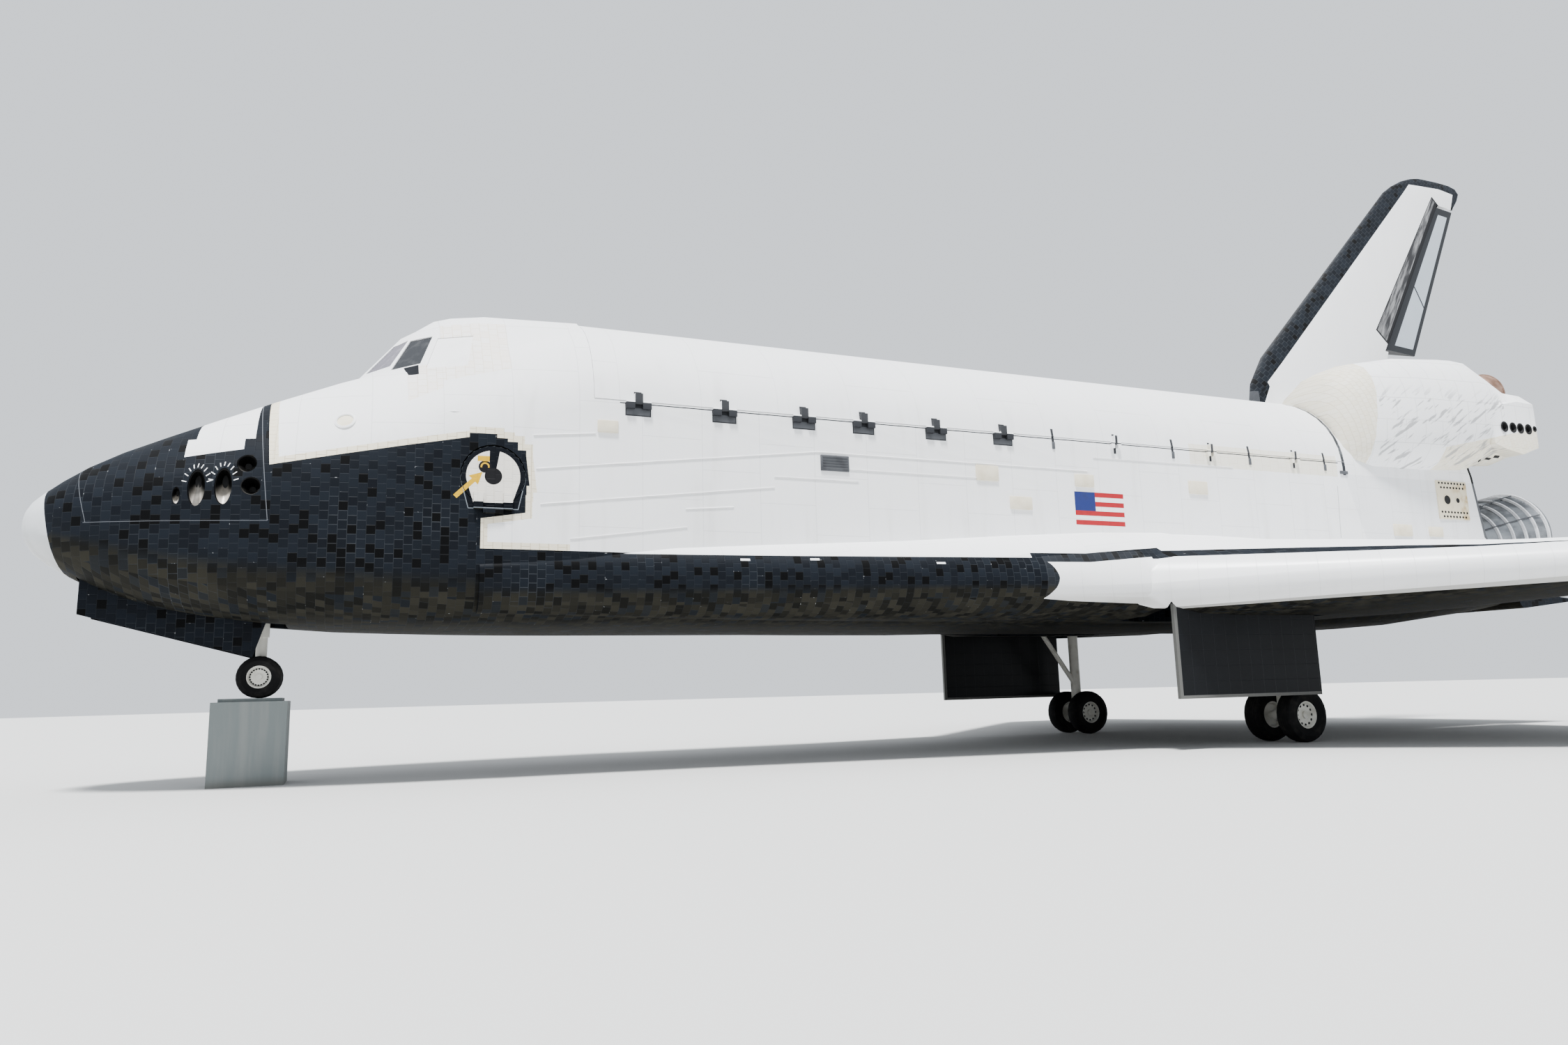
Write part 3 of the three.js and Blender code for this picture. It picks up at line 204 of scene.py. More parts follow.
class Paint:
    """One material, built from its nodes."""

    JOINT_CORE = 0.3

    def __init__(self, name: str) -> None:
        """Starts a material.

        Args:
            name: The material's name.
        """
        self.material = bpy.data.materials.new(name)
        self.material.use_nodes = True
        self.tree = self.material.node_tree
        self.tree.nodes.clear()
        self.shader = self.node("ShaderNodeBsdfPrincipled", {}, {})
        out = self.node("ShaderNodeOutputMaterial", {}, {})
        self.tree.links.new(self.shader.outputs["BSDF"], out.inputs["Surface"])
        place = self.node("ShaderNodeTexCoord", {}, {})
        self.place = place.outputs["Object"]
        metres = self.node("ShaderNodeSeparateXYZ", {}, {"Vector": self.place})
        self.x = Wire(self, metres.outputs["X"]) / INCH + Grid.X0
        self.y = Wire(self, metres.outputs["Y"]) / INCH
        self.z = Wire(self, metres.outputs["Z"]) / INCH + Grid.GROUND
        facing = self.node("ShaderNodeSeparateXYZ", {}, {"Vector": place.outputs["Normal"]})
        self.facing_up = Wire(self, facing.outputs["Z"])
        self.facing_side = Wire(self, facing.outputs["Y"]).size()

    def node(self, kind: str, settings: dict[str, Any], sockets: dict[Any, Any]) -> bpy.types.Node:
        """Adds a node.

        Args:
            kind: The node's type.
            settings: Its own settings, which are set first.
            sockets: A number, colour, wire or output for each of its inputs.

        Returns:
            The new node.
        """
        made = self.tree.nodes.new(kind)
        for name, value in settings.items():
            setattr(made, name, value)
        for name, value in sockets.items():
            socket = made.inputs[name]
            if isinstance(value, Wire):
                self.tree.links.new(value.socket, socket)
            elif isinstance(value, bpy.types.NodeSocket):
                self.tree.links.new(value, socket)
            elif isinstance(value, tuple) and len(value) == 3 and socket.type == "RGBA":
                socket.default_value = (*value, 1.0)
            else:
                socket.default_value = value
        return made

    def math(self, operation: str, *values: Number) -> Wire:
        """The result of a Math node on numbers or wires."""
        made = self.node("ShaderNodeMath", {"operation": operation}, dict(enumerate(values)))
        return Wire(self, made.outputs[0])

    def mix(self, share: Number, under: Any, over: Any) -> bpy.types.NodeSocket:
        """A colour that goes from one to another as share goes from 0 to 1."""
        made = self.node(
            "ShaderNodeMix", {"data_type": "RGBA"}, {0: share, 6: under, 7: over}
        )
        return made.outputs[2]

    def vector(self, x: Number, y: Number, z: Number) -> bpy.types.NodeSocket:
        """Three numbers or wires as one vector."""
        return self.node("ShaderNodeCombineXYZ", {}, {"X": x, "Y": y, "Z": z}).outputs[0]

    def noise(self, scale: float, detail: float = 3.0, stretch: Point = (1.0, 1.0, 1.0)) -> Wire:
        """Soft random values.

        Args:
            scale: How many blots there are in a metre.
            detail: How many finer layers are added.
            stretch: How much each axis is squeezed, for streaks.

        Returns:
            A wire from 0 to 1.
        """
        place = self.node("ShaderNodeMapping", {}, {"Vector": self.place, "Scale": stretch})
        made = self.node(
            "ShaderNodeTexNoise",
            {},
            {"Vector": place.outputs[0], "Scale": scale, "Detail": detail},
        )
        return Wire(self, made.outputs[0])

    def tiles(self, across: Wire, along: Wire, size: float, joint: float, shift: float = 0.5) -> Tiles:
        """Square tiles in columns that are shifted against each other.

        Args:
            across: The coordinate that counts the columns.
            along: The coordinate that counts the tiles in a column.
            size: The tile's side, in the coordinates' own unit.
            joint: The joint's width in the same unit.
            shift: How far every other column is shifted, as a share of a tile.

        Returns:
            The joints, which are full over JOINT_CORE of their width, and two random numbers a tile.
        """
        column = (across / size).floor()
        row_place = along / size + (column * shift).fraction()
        cell = self.vector(column, row_place.floor(), 0.5)
        white = self.node("ShaderNodeTexWhiteNoise", {"noise_dimensions": "3D"}, {"Vector": cell})
        in_column = (across / size).fraction()
        in_row = row_place.fraction()
        edge = in_column.least(1 - in_column).least(in_row).least(1 - in_row)
        colour = self.node("ShaderNodeSeparateColor", {}, {"Color": white.outputs["Color"]})
        return Tiles(
            1 - edge.ease(self.JOINT_CORE * joint / size, joint / size),
            Wire(self, white.outputs["Value"]),
            Wire(self, colour.outputs["Green"]),
        )

    def finish(
        self,
        colour: Any,
        roughness: Number = 0.6,
        metallic: Number = 0.0,
        height: Wire | None = None,
        depth: float = 0.003,
        gloss: float = 0.5,
    ) -> bpy.types.Material:
        """Connects the shader.

        Args:
            colour: The base colour.
            roughness: The roughness.
            metallic: How metallic it is.
            height: The relief, if there is one, from 0 to 1.
            depth: How many metres a relief of 1 stands.
            gloss: How strongly the surface mirrors, where 0.5 is plain plastic.

        Returns:
            The material.
        """
        inputs = self.shader.inputs
        inputs["Specular IOR Level"].default_value = gloss
        for name, value in (("Base Color", colour), ("Roughness", roughness), ("Metallic", metallic)):
            if isinstance(value, Wire):
                self.tree.links.new(value.socket, inputs[name])
            elif isinstance(value, bpy.types.NodeSocket):
                self.tree.links.new(value, inputs[name])
            elif isinstance(value, tuple):
                inputs[name].default_value = (*value, 1.0)
            else:
                inputs[name].default_value = value
        if height is not None:
            bump = self.node(
                "ShaderNodeBump", {}, {"Strength": 1.0, "Distance": depth, "Height": height}
            )
            self.tree.links.new(bump.outputs[0], inputs["Normal"])
        return self.material


@dataclass(frozen=True)
class Palette:
    """The colours that several finishes share."""

    white: Colour = (0.86, 0.865, 0.87)
    white_soft: Colour = (0.79, 0.80, 0.81)
    white_worn: Colour = (0.66, 0.67, 0.68)
    joint: Colour = (0.46, 0.46, 0.47)
    cream: Colour = (0.76, 0.71, 0.58)
    cream_joint: Colour = (0.50, 0.42, 0.29)
    black: Colour = (0.0065, 0.0085, 0.0125)
    black_light: Colour = (0.016, 0.021, 0.029)
    black_deep: Colour = (0.0012, 0.0014, 0.002)
    black_joint: Colour = (0.07, 0.078, 0.088)
    # The belly's tile colours: weathered brown-grey, darkened as painted shade for the underside, with a
    # green-brown tint that paints the ground's reflection.
    belly: Colour = (0.011, 0.011, 0.0095)
    belly_light: Colour = (0.042, 0.040, 0.032)
    seal: Colour = (0.018, 0.018, 0.02)
    yellow: Colour = (0.62, 0.40, 0.05)


PALETTE = Palette()


@dataclass(frozen=True)
class TileFinish:
    """Dark tiles, seen from the side and from below.

    Attributes:
        size: The side of a tile in inches.
        joint: The width of the joints in inches.
        rare: The share of tiles that aren't far darker than the rest.
        narrow: How many times narrower than high a tile is.
        turned: How far down a face looks, from 0 to 1, where the columns run across the belly.
        underside_wear_and_shade: How far down a face looks where the belly's colours start, and where they
            are full: weathered tones, darkened as painted shade.
    """

    size: float = 6.0
    joint: float = 0.34
    rare: float = 0.84
    narrow: float = 1.08
    turned: float = 0.62
    underside_wear_and_shade: tuple[float, float] = (0.14, 0.36)

    def lay(self, paint: Paint) -> tuple[bpy.types.NodeSocket, Wire, Wire]:
        """Adds the tiles to a material.

        Args:
            paint: The material.

        Returns:
            The tiles' colour, their roughness and their relief.
        """
        below = paint.facing_up < -self.turned
        along = paint.z * (1 - below) + paint.y * below
        field = paint.tiles(paint.x * self.narrow, along, self.size, self.joint)
        cloud = paint.noise(0.9, 4.0)
        side = paint.mix(field.tone * 0.75, PALETTE.black, PALETTE.black_light)
        side = paint.mix(field.other > self.rare, side, PALETTE.black_deep)
        fade = (field.tone * 1.5 - 0.4 + cloud * 0.5) * 0.8
        worn = paint.mix(fade, PALETTE.belly, PALETTE.belly_light)
        worn = paint.mix((field.other > 0.85) * 0.6, worn, PALETTE.black_light)
        # Faces that look down take the belly's colours: weathered tones, darkened as painted shade, with a
        # painted ground reflection in their tint.
        low = (0.0 - paint.facing_up).ease(*self.underside_wear_and_shade)
        colour = paint.mix(low, side, worn)
        old = (cloud.ease(0.5, 0.75) * 0.5 + 0.12) * field.seam
        colour = paint.mix(old, colour, PALETTE.black_joint)
        chip = paint.noise(14.0, 2.0).ease(0.70, 0.76) * field.seam
        colour = paint.mix(chip * 0.4, colour, PALETTE.white_worn)
        roughness = 0.5 + field.tone * 0.2 + low * 0.2
        return colour, roughness, (1 - field.seam) * 0.8 + field.other * 0.2


@dataclass(frozen=True)
class HingePaint:
    """The paint along the hinge line of the payload doors, in inches.

    Attributes:
        leaf: Half the width of a large hinge's leaf on the sill.
        arm: Half the width of its arm, which goes on up the door.
        small_arm: Half the width of a small hinge's arm.
        leaf_z: The foot and the top of the leaves.
        arm_z: The foot and the top of the arms.
        joint_z: The height of the joint between the doors and the sill.
        outside: How far from the centreline the leaves start.
    """

    leaf: float = 9.3
    arm: float = 2.8
    small_arm: float = 1.2
    leaf_z: tuple[float, float] = (409.5, 418.2)
    arm_z: tuple[float, float] = (410.0, 427.5)
    joint_z: float = 418.6
    outside: float = 101.5

    def lay(self, paint: Paint, colour: Any) -> bpy.types.NodeSocket:
        """Paints the dark leaves and arms, the joint, and the tan strip along the aft part of the sill.

        Args:
            paint: The material.
            colour: The colour under them.

        Returns:
            The colour with the hinges.
        """
        plate, stem = paint.x * 0.0, paint.x * 0.0
        for station in Flank.large_hinges:
            plate = plate | ((paint.x - station).size() < self.leaf)
            stem = stem | ((paint.x - station).size() < self.arm)
        for station in Flank.small_hinges:
            stem = stem | ((paint.x - station).size() < self.small_arm)
        leaf = plate * paint.z.between(*self.leaf_z) | stem * paint.z.between(*self.arm_z)
        leaf = leaf * (paint.y.size() > self.outside)
        joint = (paint.z - self.joint_z).size() < 0.4
        joint = joint * paint.x.between(600, 1298) * (paint.y.size() > 100)
        strip = paint.x.between(1114, 1296) * paint.z.between(405, 425) * (paint.y.size() > 98)
        step = paint.tiles(paint.x, paint.z, 10.0, 0.3)
        tan = paint.mix(step.seam * 0.4, (0.77, 0.74, 0.64), PALETTE.cream_joint)
        colour = paint.mix(strip * 0.8, colour, tan)
        return paint.mix(leaf | joint, colour, (0.045, 0.047, 0.052))


@dataclass(frozen=True)
class HatchMarks:
    """The paint on and round the side hatch, in inches from its middle.

    Attributes:
        middle: Station and height of the hatch's middle.
        radius: The radius of the dark ground.
        waist: How far under the middle the ground's straight foot begins.
        half_width: Half the foot's width at the waist.
        fore_lean: How much the foot narrows ahead, for each inch down.
        aft_lean: How much it narrows aft.
        line: Half the width of the line round the ground.
        cream: The radius of the cream ground inside it.
        pane: The radius of the round window.
        knob: Place of the handle's disc, aft and up.
        arrow: Place of the arrow's middle, aft and up.
        slant: The sine and cosine of the arrow's 45 degrees.
    """

    middle: tuple[float, float] = (515.5, 361.5)
    radius: float = 20.6
    waist: float = 9.0
    half_width: float = 19.0
    fore_lean: float = 0.27
    aft_lean: float = 0.22
    line: float = 0.3
    cream: float = 17.3
    pane: float = 5.6
    knob: tuple[float, float] = (-5.4, 6.2)
    arrow: tuple[float, float] = (-16.5, -7.0)
    slant: float = 0.7071

    def outline(self, x: Wire, z: Wire, reach: Wire) -> Wire:
        """The thin line round the dark ground.

        Args:
            x: The distance aft of the hatch's middle.
            z: The height above it.
            reach: The distance from it.

        Returns:
            A mask.
        """
        down = z + self.waist
        ring = ((reach - self.radius).size() < self.line) * (1 - (z < -self.waist))
        fore = (x + self.half_width + down * self.fore_lean).size() < self.line
        aft = (x - self.half_width - down * self.aft_lean).size() < self.line
        foot = (z + 21.8).size() < self.line
        return ring | (fore | aft) * z.between(-22, -self.waist) | foot * x.between(-15.6, 16.3)

    def ground(self, x: Wire, z: Wire, reach: Wire) -> Wire:
        """The dark ground: round above its waist, narrowing below it.

        Args:
            x: The distance aft of the hatch's middle.
            z: The height above it.
            reach: The distance from it.

        Returns:
            A mask.
        """
        down = z + self.waist
        fore = down * -self.fore_lean - self.half_width
        aft = down * self.aft_lean + self.half_width
        return (reach < self.radius) * (z > -self.waist) | z.between(-22, -self.waist) * x.between(fore, aft)

    def arrow_shape(self, x: Wire, z: Wire) -> Wire:
        """The slanting arrow and the small square above it.

        Args:
            x: The distance aft of the hatch's middle.
            z: The height above it.

        Returns:
            A mask.
        """
        dx, dz = x - self.arrow[0], z - self.arrow[1]
        along = dx * self.slant + dz * self.slant
        off = (dz * self.slant - dx * self.slant).size()
        shaft = (off < 1.55) * along.between(-10.5, 6)
        head = (off < (13.5 - along) * 0.52) * along.between(5.5, 13.5)
        square = x.between(-10.2, -2.6) * z.between(9.8, 13.4)
        return square | shaft | head

    def lay(self, paint: Paint, colour: Any) -> bpy.types.NodeSocket:
        """Paints the marks.

        Args:
            paint: The material.
            colour: The colour under the marks.

        Returns:
            The colour with the marks.
        """
        x, z = paint.x - self.middle[0], paint.z - self.middle[1]
        reach = (x * x + z * z).root()
        port = (paint.y < -60) * (reach < 34)
        out = paint.mix(port * self.ground(x, z, reach), colour, PALETTE.black)

        foot = z.between(-17.8, -3) * x.between((z + 3) * -0.30 - 17.0, (z + 3) * 0.33 + 17.2)
        wedge = (x > -2.6) * (x < z * 0.17 + 1.0) * (z > 2)
        cream = ((reach < self.cream) * (z > -3.1) | foot) * (1 - wedge)
        joint = ((x - 0.3).size() < 0.12) * (z < 0) | ((z + 3).size() < 0.12) * (x > 0)
        cream_colour = paint.mix(joint * 0.5, (0.74, 0.71, 0.66), PALETTE.cream_joint)
        out = paint.mix(port * cream, out, cream_colour)

        knob_x, knob_z = x - self.knob[0], z - self.knob[1]
        disc = (knob_x * knob_x + knob_z * knob_z).root()
        knob = (disc < 4.1) * (x < -1.5)
        arc = ((disc - 2.4).size() < 0.55) * (knob_z > -0.6) * (x < -2.6)
        out = paint.mix(port * ((reach < self.pane) | knob), out, PALETTE.seal)
        out = paint.mix(port * arc, out, PALETTE.yellow)
        out = paint.mix(port * self.arrow_shape(x, z), out, PALETTE.yellow)
        return paint.mix(port * self.outline(x, z, reach) * 0.7, out, (0.28, 0.31, 0.34))


class Finishes:
    """Every finish of the craft, each made once."""

    CREAM_BORDER = 4.4
    EDGE_START = 836

    def __init__(self) -> None:
        """Makes the materials."""
        self.hull = self.hull_skin()
        self.doors = self.door_skin()
        self.wing = self.wing_skin()
        self.fin = self.fin_skin()
        self.rudder = self.rudder_skin()
        self.pod = self.pod_skin()
        self.tile = self.tile_only()
        self.gear_door = self.panel_black()
        self.edge = self.edge_skin()
        self.cap = self.nose_cap()
        self.cover = self.plain("cover_white", PALETTE.white, PALETTE.white_worn, 0.5, 1.5)
        self.cream = self.plain("cream_plate", PALETTE.cream, (0.6, 0.53, 0.4), 0.6, 3.0)
        self.seal = self.plain("dark_seal", PALETTE.seal, (0.05, 0.05, 0.055), 0.55, 2.0)
        self.rib = self.plain("bay_rib", (0.50, 0.53, 0.47), (0.34, 0.36, 0.31), 0.5, 3.0)
        self.fairing = self.plain("hinge_fairing", (0.10, 0.105, 0.115), (0.05, 0.052, 0.058), 0.5, 4.0)
        self.glass = self.pane_glass("pane_dark", (0.018, 0.02, 0.024), (0.06, 0.062, 0.066))
        self.front_glass = self.pane_glass("pane_front", (0.17, 0.16, 0.19), (0.28, 0.265, 0.30))
        self.steel = self.bell_steel()
        self.copper = self.nozzle_copper()
        self.throat = self.thruster_cone()
        self.gear = self.plain("gear_paint", (0.68, 0.67, 0.62), (0.42, 0.40, 0.34), 0.45, 4.0)
        self.rubber = self.tyre_rubber()
        self.plinth = self.plinth_grey()
        self.dark = self.plain("dark_hole", (0.012, 0.012, 0.013), (0.02, 0.02, 0.02), 0.7, 3.0)
        self.bright = self.plain("hoop_metal", (0.85, 0.86, 0.88), (0.5, 0.5, 0.52), 0.32, 5.0, 0.4)
        self.bead = self.plain("bead_white", (0.84, 0.84, 0.84), PALETTE.white_worn, 0.5, 3.0)
        self.plate = self.studded_plate()
        self.stripe = self.plain("stripe_red", (0.40, 0.025, 0.03), (0.3, 0.03, 0.03), 0.5, 6.0)
        self.corner = self.plain("stripe_blue", (0.02, 0.035, 0.16), (0.03, 0.04, 0.12), 0.5, 6.0)

    @staticmethod
    def plain(
        name: str, colour: Colour, worn: Colour, roughness: float, scale: float, metallic: float = 0.0
    ) -> bpy.types.Material:
        """A painted or rubbed surface with soft stains.

        Args:
            name: The material's name.
            colour: Its main colour.
            worn: The colour of its stains.
            roughness: Its roughness where it is clean.
            scale: How many stains there are in a metre.
            metallic: How metallic it is.

        Returns:
            The material.
        """
        paint = Paint(name)
        stain = paint.noise(scale, 5.0).ease(0.45, 0.75)
        fine = paint.noise(scale * 12, 3.0)
        colour_out = paint.mix(stain * 0.6, colour, worn)
        return paint.finish(colour_out, roughness + stain * 0.2, metallic, fine, 0.0006)

    @staticmethod
    def dirt(paint: Paint, colour: Any, amount: float) -> bpy.types.NodeSocket:
        """Lays faint streaks that run down, and blots, over a colour.

        Args:
            paint: The material.
            colour: The clean colour.
            amount: How strong the dirt is, from 0 to 1.

        Returns:
            The colour with its dirt.
        """
        streak = paint.noise(3.0, 4.0, (1.0, 1.0, 0.12)).ease(0.52, 0.78)
        blot = paint.noise(0.6, 5.0).ease(0.5, 0.8)
        side = 1 - paint.facing_up.ease(0.2, 0.8)
        return paint.mix((streak * 0.6 + blot * 0.5) * side * amount, colour, (0.42, 0.41, 0.38))

    @staticmethod
    def sheet_white(paint: Paint, scale: float) -> bpy.types.NodeSocket:
        """White sheets with soft clouds, of which there are scale in a metre."""
        return paint.mix(paint.noise(scale, 4.0) * 0.5, PALETTE.white, PALETTE.white_soft)

    @staticmethod
    def dark_region(paint: Paint, grow: float) -> Wire:
        """The part of the forward flank that has dark tiles, made wider by grow on its edges.

        Args:
            paint: The material.
            grow: How far the region is widened, in inches.

        Returns:
            A mask.
        """
        x, z = paint.x, paint.z
        slope = (z < (x - 386) * 0.186 + (366 + grow)) * (x < 508 + grow)
        low_edge = z > (x - 508) * 0.16 + (333.2 - grow)
        block = (x < 533 + grow) * (z < 380 + grow)
        # The last station and the top of each step of the border behind the hatch.
        for last, top in ((517.5, 390.2), (524.4, 387.6), (531.0, 385.4), (536.4, 380.0)):
            block = block | (x.between(500, last + grow) * (z < top + grow))
        block = block | ((x < (380 - z) * 0.12 + (536 + grow)) * z.between(356 - grow, 380))
        block = block | ((x < 537 + grow) * z.between(349.6 - grow, 358))
        block = block | ((x < 535 + grow) * z.between(343 - grow, 358))
        block = block * low_edge * (x > 495)
        chine = z < (x - 563) * -0.005 + (313 + grow)
        return slope | block | chine

    def hull_white(self, paint: Paint, field: Tiles) -> bpy.types.NodeSocket:
        """The white of the hull, with its sheets' joints and the cream tiles round the windows.

        Args:
            paint: The material.
            field: The small tiles.

        Returns:
            The colour.
        """
        x, z = paint.x, paint.z
        panels = paint.tiles(x, z, 44.0, 0.35)
        white = self.sheet_white(paint, 1.3)
        white = paint.mix(panels.seam * 0.35, white, PALETTE.joint)
        beside_cover = x.between(484, 528) * z.between(430 + (x - 484) * 0.25, 486)
        below_pane = x.between(462, 484) * z.between(413 + (x - 462) * 0.5, 446)
        near_windows = beside_cover | below_pane
        white = paint.mix(near_windows * field.seam * 0.6, white, PALETTE.cream_joint)
        white = paint.mix(near_windows * (field.other * 0.4 + 0.25), white, (0.84, 0.77, 0.68))
        return self.dirt(paint, white, 0.30)

    @staticmethod
    def nose_patch(paint: Paint) -> Wire:
        """The white patches on both sides of the top of the nose.

        Args:
            paint: The material.

        Returns:
            A mask.
        """
        x, z = paint.x, paint.z
        low_edge = z > (x - 332) * 0.15 + 371
        patch = x.between(332, 366) * low_edge | x.between(365, 372) * (z > 384)
        return patch * (paint.y.size() > 14) * (1 - (x < 337) * (z > 385))

    @staticmethod
    def nose_seams(paint: Paint) -> Wire:
        """The thin joints round the part of the nose that holds the thrusters.

        Args:
            paint: The material.

        Returns:
            A mask.
        """
        x, z = paint.x, paint.z
        low = (z - 329).size() < 0.16
        front = (x - 272 - (360 - z) * 0.27).size() < 0.18
        aft = (x - 382 + (z - 330) * 0.11).size() < 0.22
        return low * x.between(279, 382) | front * (z > 329) | aft * (z > 329)

    @staticmethod
    def stern_marks(paint: Paint, colour: Any, dark: Wire) -> bpy.types.NodeSocket:
        """Paints the dark stern, and the greyer panel and the joint on the flank ahead of it.

        Args:
            paint: The material.
            colour: The colour under them.
            dark: Where the dark tiles are, as a mask.

        Returns:
            The colour with the marks.
        """
        x, z = paint.x, paint.z
        upper = (x > (540 - z) * 0.163 + 1461.5) * (z > 352)
        lower = (x > (355 - z) * 0.42 + 1492) * (z < 353)
        colour = paint.mix((upper | lower) * (1 - dark), colour, PALETTE.seal)
        panel = (x - 1305 - (408 - z) * 0.32 > 0) * z.between(346, 408)
        colour = paint.mix(panel * 0.22, colour, (0.5, 0.52, 0.55))
        joint = ((x - 1291 - (z - 346) * 0.06).size() < 0.35) * z.between(346, 396)
        return paint.mix(joint * 0.7, colour, (0.3, 0.3, 0.31))

    @staticmethod
    def dark_panes(paint: Paint) -> Wire:
        """The two roof windows, and the dark corner under each middle window.

        Args:
            paint: The material.

        Returns:
            A mask.
        """
        x, z = paint.x, paint.z
        half = paint.y.size()
        roof = x.between(528, 549) * half.between(6, 25) * (z > 486)
        corner = x.between(460 + (446 - z) * 0.3, 469) * z.between(437.5, 447) * (half > 45)
        return roof | corner

    def hull_skin(self) -> bpy.types.Material:
        """The fuselage: white above, dark tiles on the nose and below, and cream tiles on their border.

        Returns:
            The material.
        """
        paint = Paint("hull_skin")
        x, z = paint.x, paint.z
        half = paint.y.size()
        tile_colour, tile_rough, tile_relief = TileFinish().lay(paint)
        field = paint.tiles(x, z, 6.0, 0.3)
        white = self.hull_white(paint, field)
        cream = paint.mix(field.seam * 0.5, PALETTE.cream, PALETTE.cream_joint)

        dark = self.dark_region(paint, 0.0)
        border = self.dark_region(paint, self.CREAM_BORDER) * (x < 566)
        nose = x < 385 - (z - 370) * 0.1
        nose_edge = x.between(381 - (z - 370) * 0.08, 386.5 - (z - 370) * 0.08)
        patch = self.nose_patch(paint)
        colour = paint.mix(border, white, cream)
        colour = paint.mix(dark, colour, tile_colour)
        colour = paint.mix(nose, colour, tile_colour)
        colour = paint.mix(nose_edge * (z > 364) * (1 - dark), colour, cream)
        colour = paint.mix(patch, colour, white)
        colour = paint.mix(self.nose_seams(paint) * (1 - patch) * 0.7, colour, (0.22, 0.23, 0.25))

        bay_walls = x.between(583, 1306) * (half < 101) * z.between(316, 418)
        colour = paint.mix(bay_walls * 0.6, colour, (0.42, 0.46, 0.41))
        colour = HatchMarks().lay(paint, colour)
        colour = HingePaint().lay(paint, colour)
        colour = self.stern_marks(paint, colour, dark)
        colour = paint.mix(self.dark_panes(paint), colour, (0.016, 0.018, 0.022))
        colour = paint.mix((z < 420) * (half > 90), colour, self.end_seal(paint, colour))

        tiled = (dark | nose) * (1 - patch)
        relief = tile_relief * tiled + (1 - field.seam * border) * (1 - tiled)
        roughness = tile_rough * tiled + (1 - tiled) * 0.62
        return paint.finish(colour, roughness, 0.0, relief, 0.0035, 0.16)

    def door_skin(self) -> bpy.types.Material:
        """The payload doors: white sheets with faint joints, and dark hinge fittings.

        Returns:
            The material.
        """
        paint = Paint("door_skin")
        panels = paint.tiles(paint.x, paint.z * 0.6, 60.0, 0.35)
        white = self.sheet_white(paint, 1.1)
        white = paint.mix(panels.seam * 0.2, white, PALETTE.joint)
        white = self.dirt(paint, white, 0.22)
        colour = HingePaint().lay(paint, white)
        inside = (paint.facing_up < -0.1) * (paint.z > 430)
        colour = paint.mix(inside, colour, (0.46, 0.5, 0.45))
        colour = self.end_seal(paint, colour)
        return paint.finish(colour, 0.6, 0.0, 1 - panels.seam, 0.002)

    @staticmethod
    def end_seal(paint: Paint, colour: Any) -> bpy.types.NodeSocket:
        """Paints the dark, streaky seal round the rear end of the payload doors and down the sill.

        Args:
            paint: The material.
            colour: The colour under the seal.

        Returns:
            The colour with the seal.
        """
        streaks = paint.noise(9.0, 4.0).ease(0.45, 0.7)
        metal = paint.mix(streaks, (0.045, 0.048, 0.054), (0.16, 0.17, 0.18))
        return paint.mix(paint.x.between(1303.4, 1307.2) * (paint.z > 407), colour, metal)

    def wing_skin(self) -> bpy.types.Material:
        """The wing and the glove: white on top, dark tiles below and along the front.

        Returns:
            The material.
        """
        paint = Paint("wing_skin")
        x, z = paint.x, paint.z
        half = paint.y.size()
        tile_colour, tile_rough, tile_relief = TileFinish().lay(paint)
        panels = paint.tiles(x, paint.y, 48.0, 0.4)
        white = self.sheet_white(paint, 0.8)
        white = paint.mix(panels.seam * 0.2, white, PALETTE.joint)
        white = self.dirt(paint, white, 0.1)
        glove_edge = (x < 927) * (z < 312)
        upper = paint.facing_up > 0.05
        # How far aft a point is of the leading edge, which is swept back by 45 degrees.
        behind = x - half - self.EDGE_START
        strip = behind.between(15, 22 + (1300 - x).ease(40, 300) * 9) * (x > 1012) * upper
        strip = strip * ((z < (x - 955) * 0.09 + 315.9) | (x > 1110))
        dark = glove_edge | (1 - upper) | strip | self.shoulder(paint)
        colour = paint.mix(dark, white, tile_colour)
        roughness = tile_rough * dark + (1 - dark) * 0.6
        return paint.finish(colour, roughness, 0.0, tile_relief * dark + (1 - dark), 0.0035, 0.16)

    @staticmethod
    def shoulder(paint: Paint) -> Wire:
        """The dark band that runs aft over the first part of the white leading edge.

        Args:
            paint: The material.

        Returns:
            A mask.
        """
        foot = ((paint.x - 955) | 0.0) * 0.09 + 308.5
        return paint.x.between(908, 1024) * paint.z.between(foot, foot + 7.4) * (paint.y.size() > 138)

    def edge_skin(self) -> bpy.types.Material:
        """The wing's leading edge: glossy white panels, greyed towards their underside as painted shade, with
        dark tiles ahead of them and above.

        Returns:
            The material.
        """
        paint = Paint("edge_white")
        x, z = paint.x, paint.z
        run = x + paint.y.size()
        joints = paint.tiles(run, z * 0.0 + 0.5, 29.0, 0.3)
        tile_colour, tile_rough, tile_relief = TileFinish().lay(paint)
        white = self.sheet_white(paint, 0.7)
        white = paint.mix(joints.seam * 0.22, white, (0.4, 0.4, 0.41))
        # Painted shade: the panels turn grey towards their curved underside.
        under = (0.0 - paint.facing_up).ease(0.35, 0.95)
        white = paint.mix(under * 0.55, white, (0.40, 0.39, 0.35))
        white = self.dirt(paint, white, 0.12)
        first = x < 926 - (z - 296) * (z - 296) * 0.045
        dark = first | self.shoulder(paint)
        colour = paint.mix(dark, white, tile_colour)
        roughness = tile_rough * dark + (1 - dark) * 0.34
        relief = tile_relief * dark + (1 - dark) * (1 - joints.seam)
        return paint.finish(colour, roughness, 0.0, relief, 0.0015, 0.4)

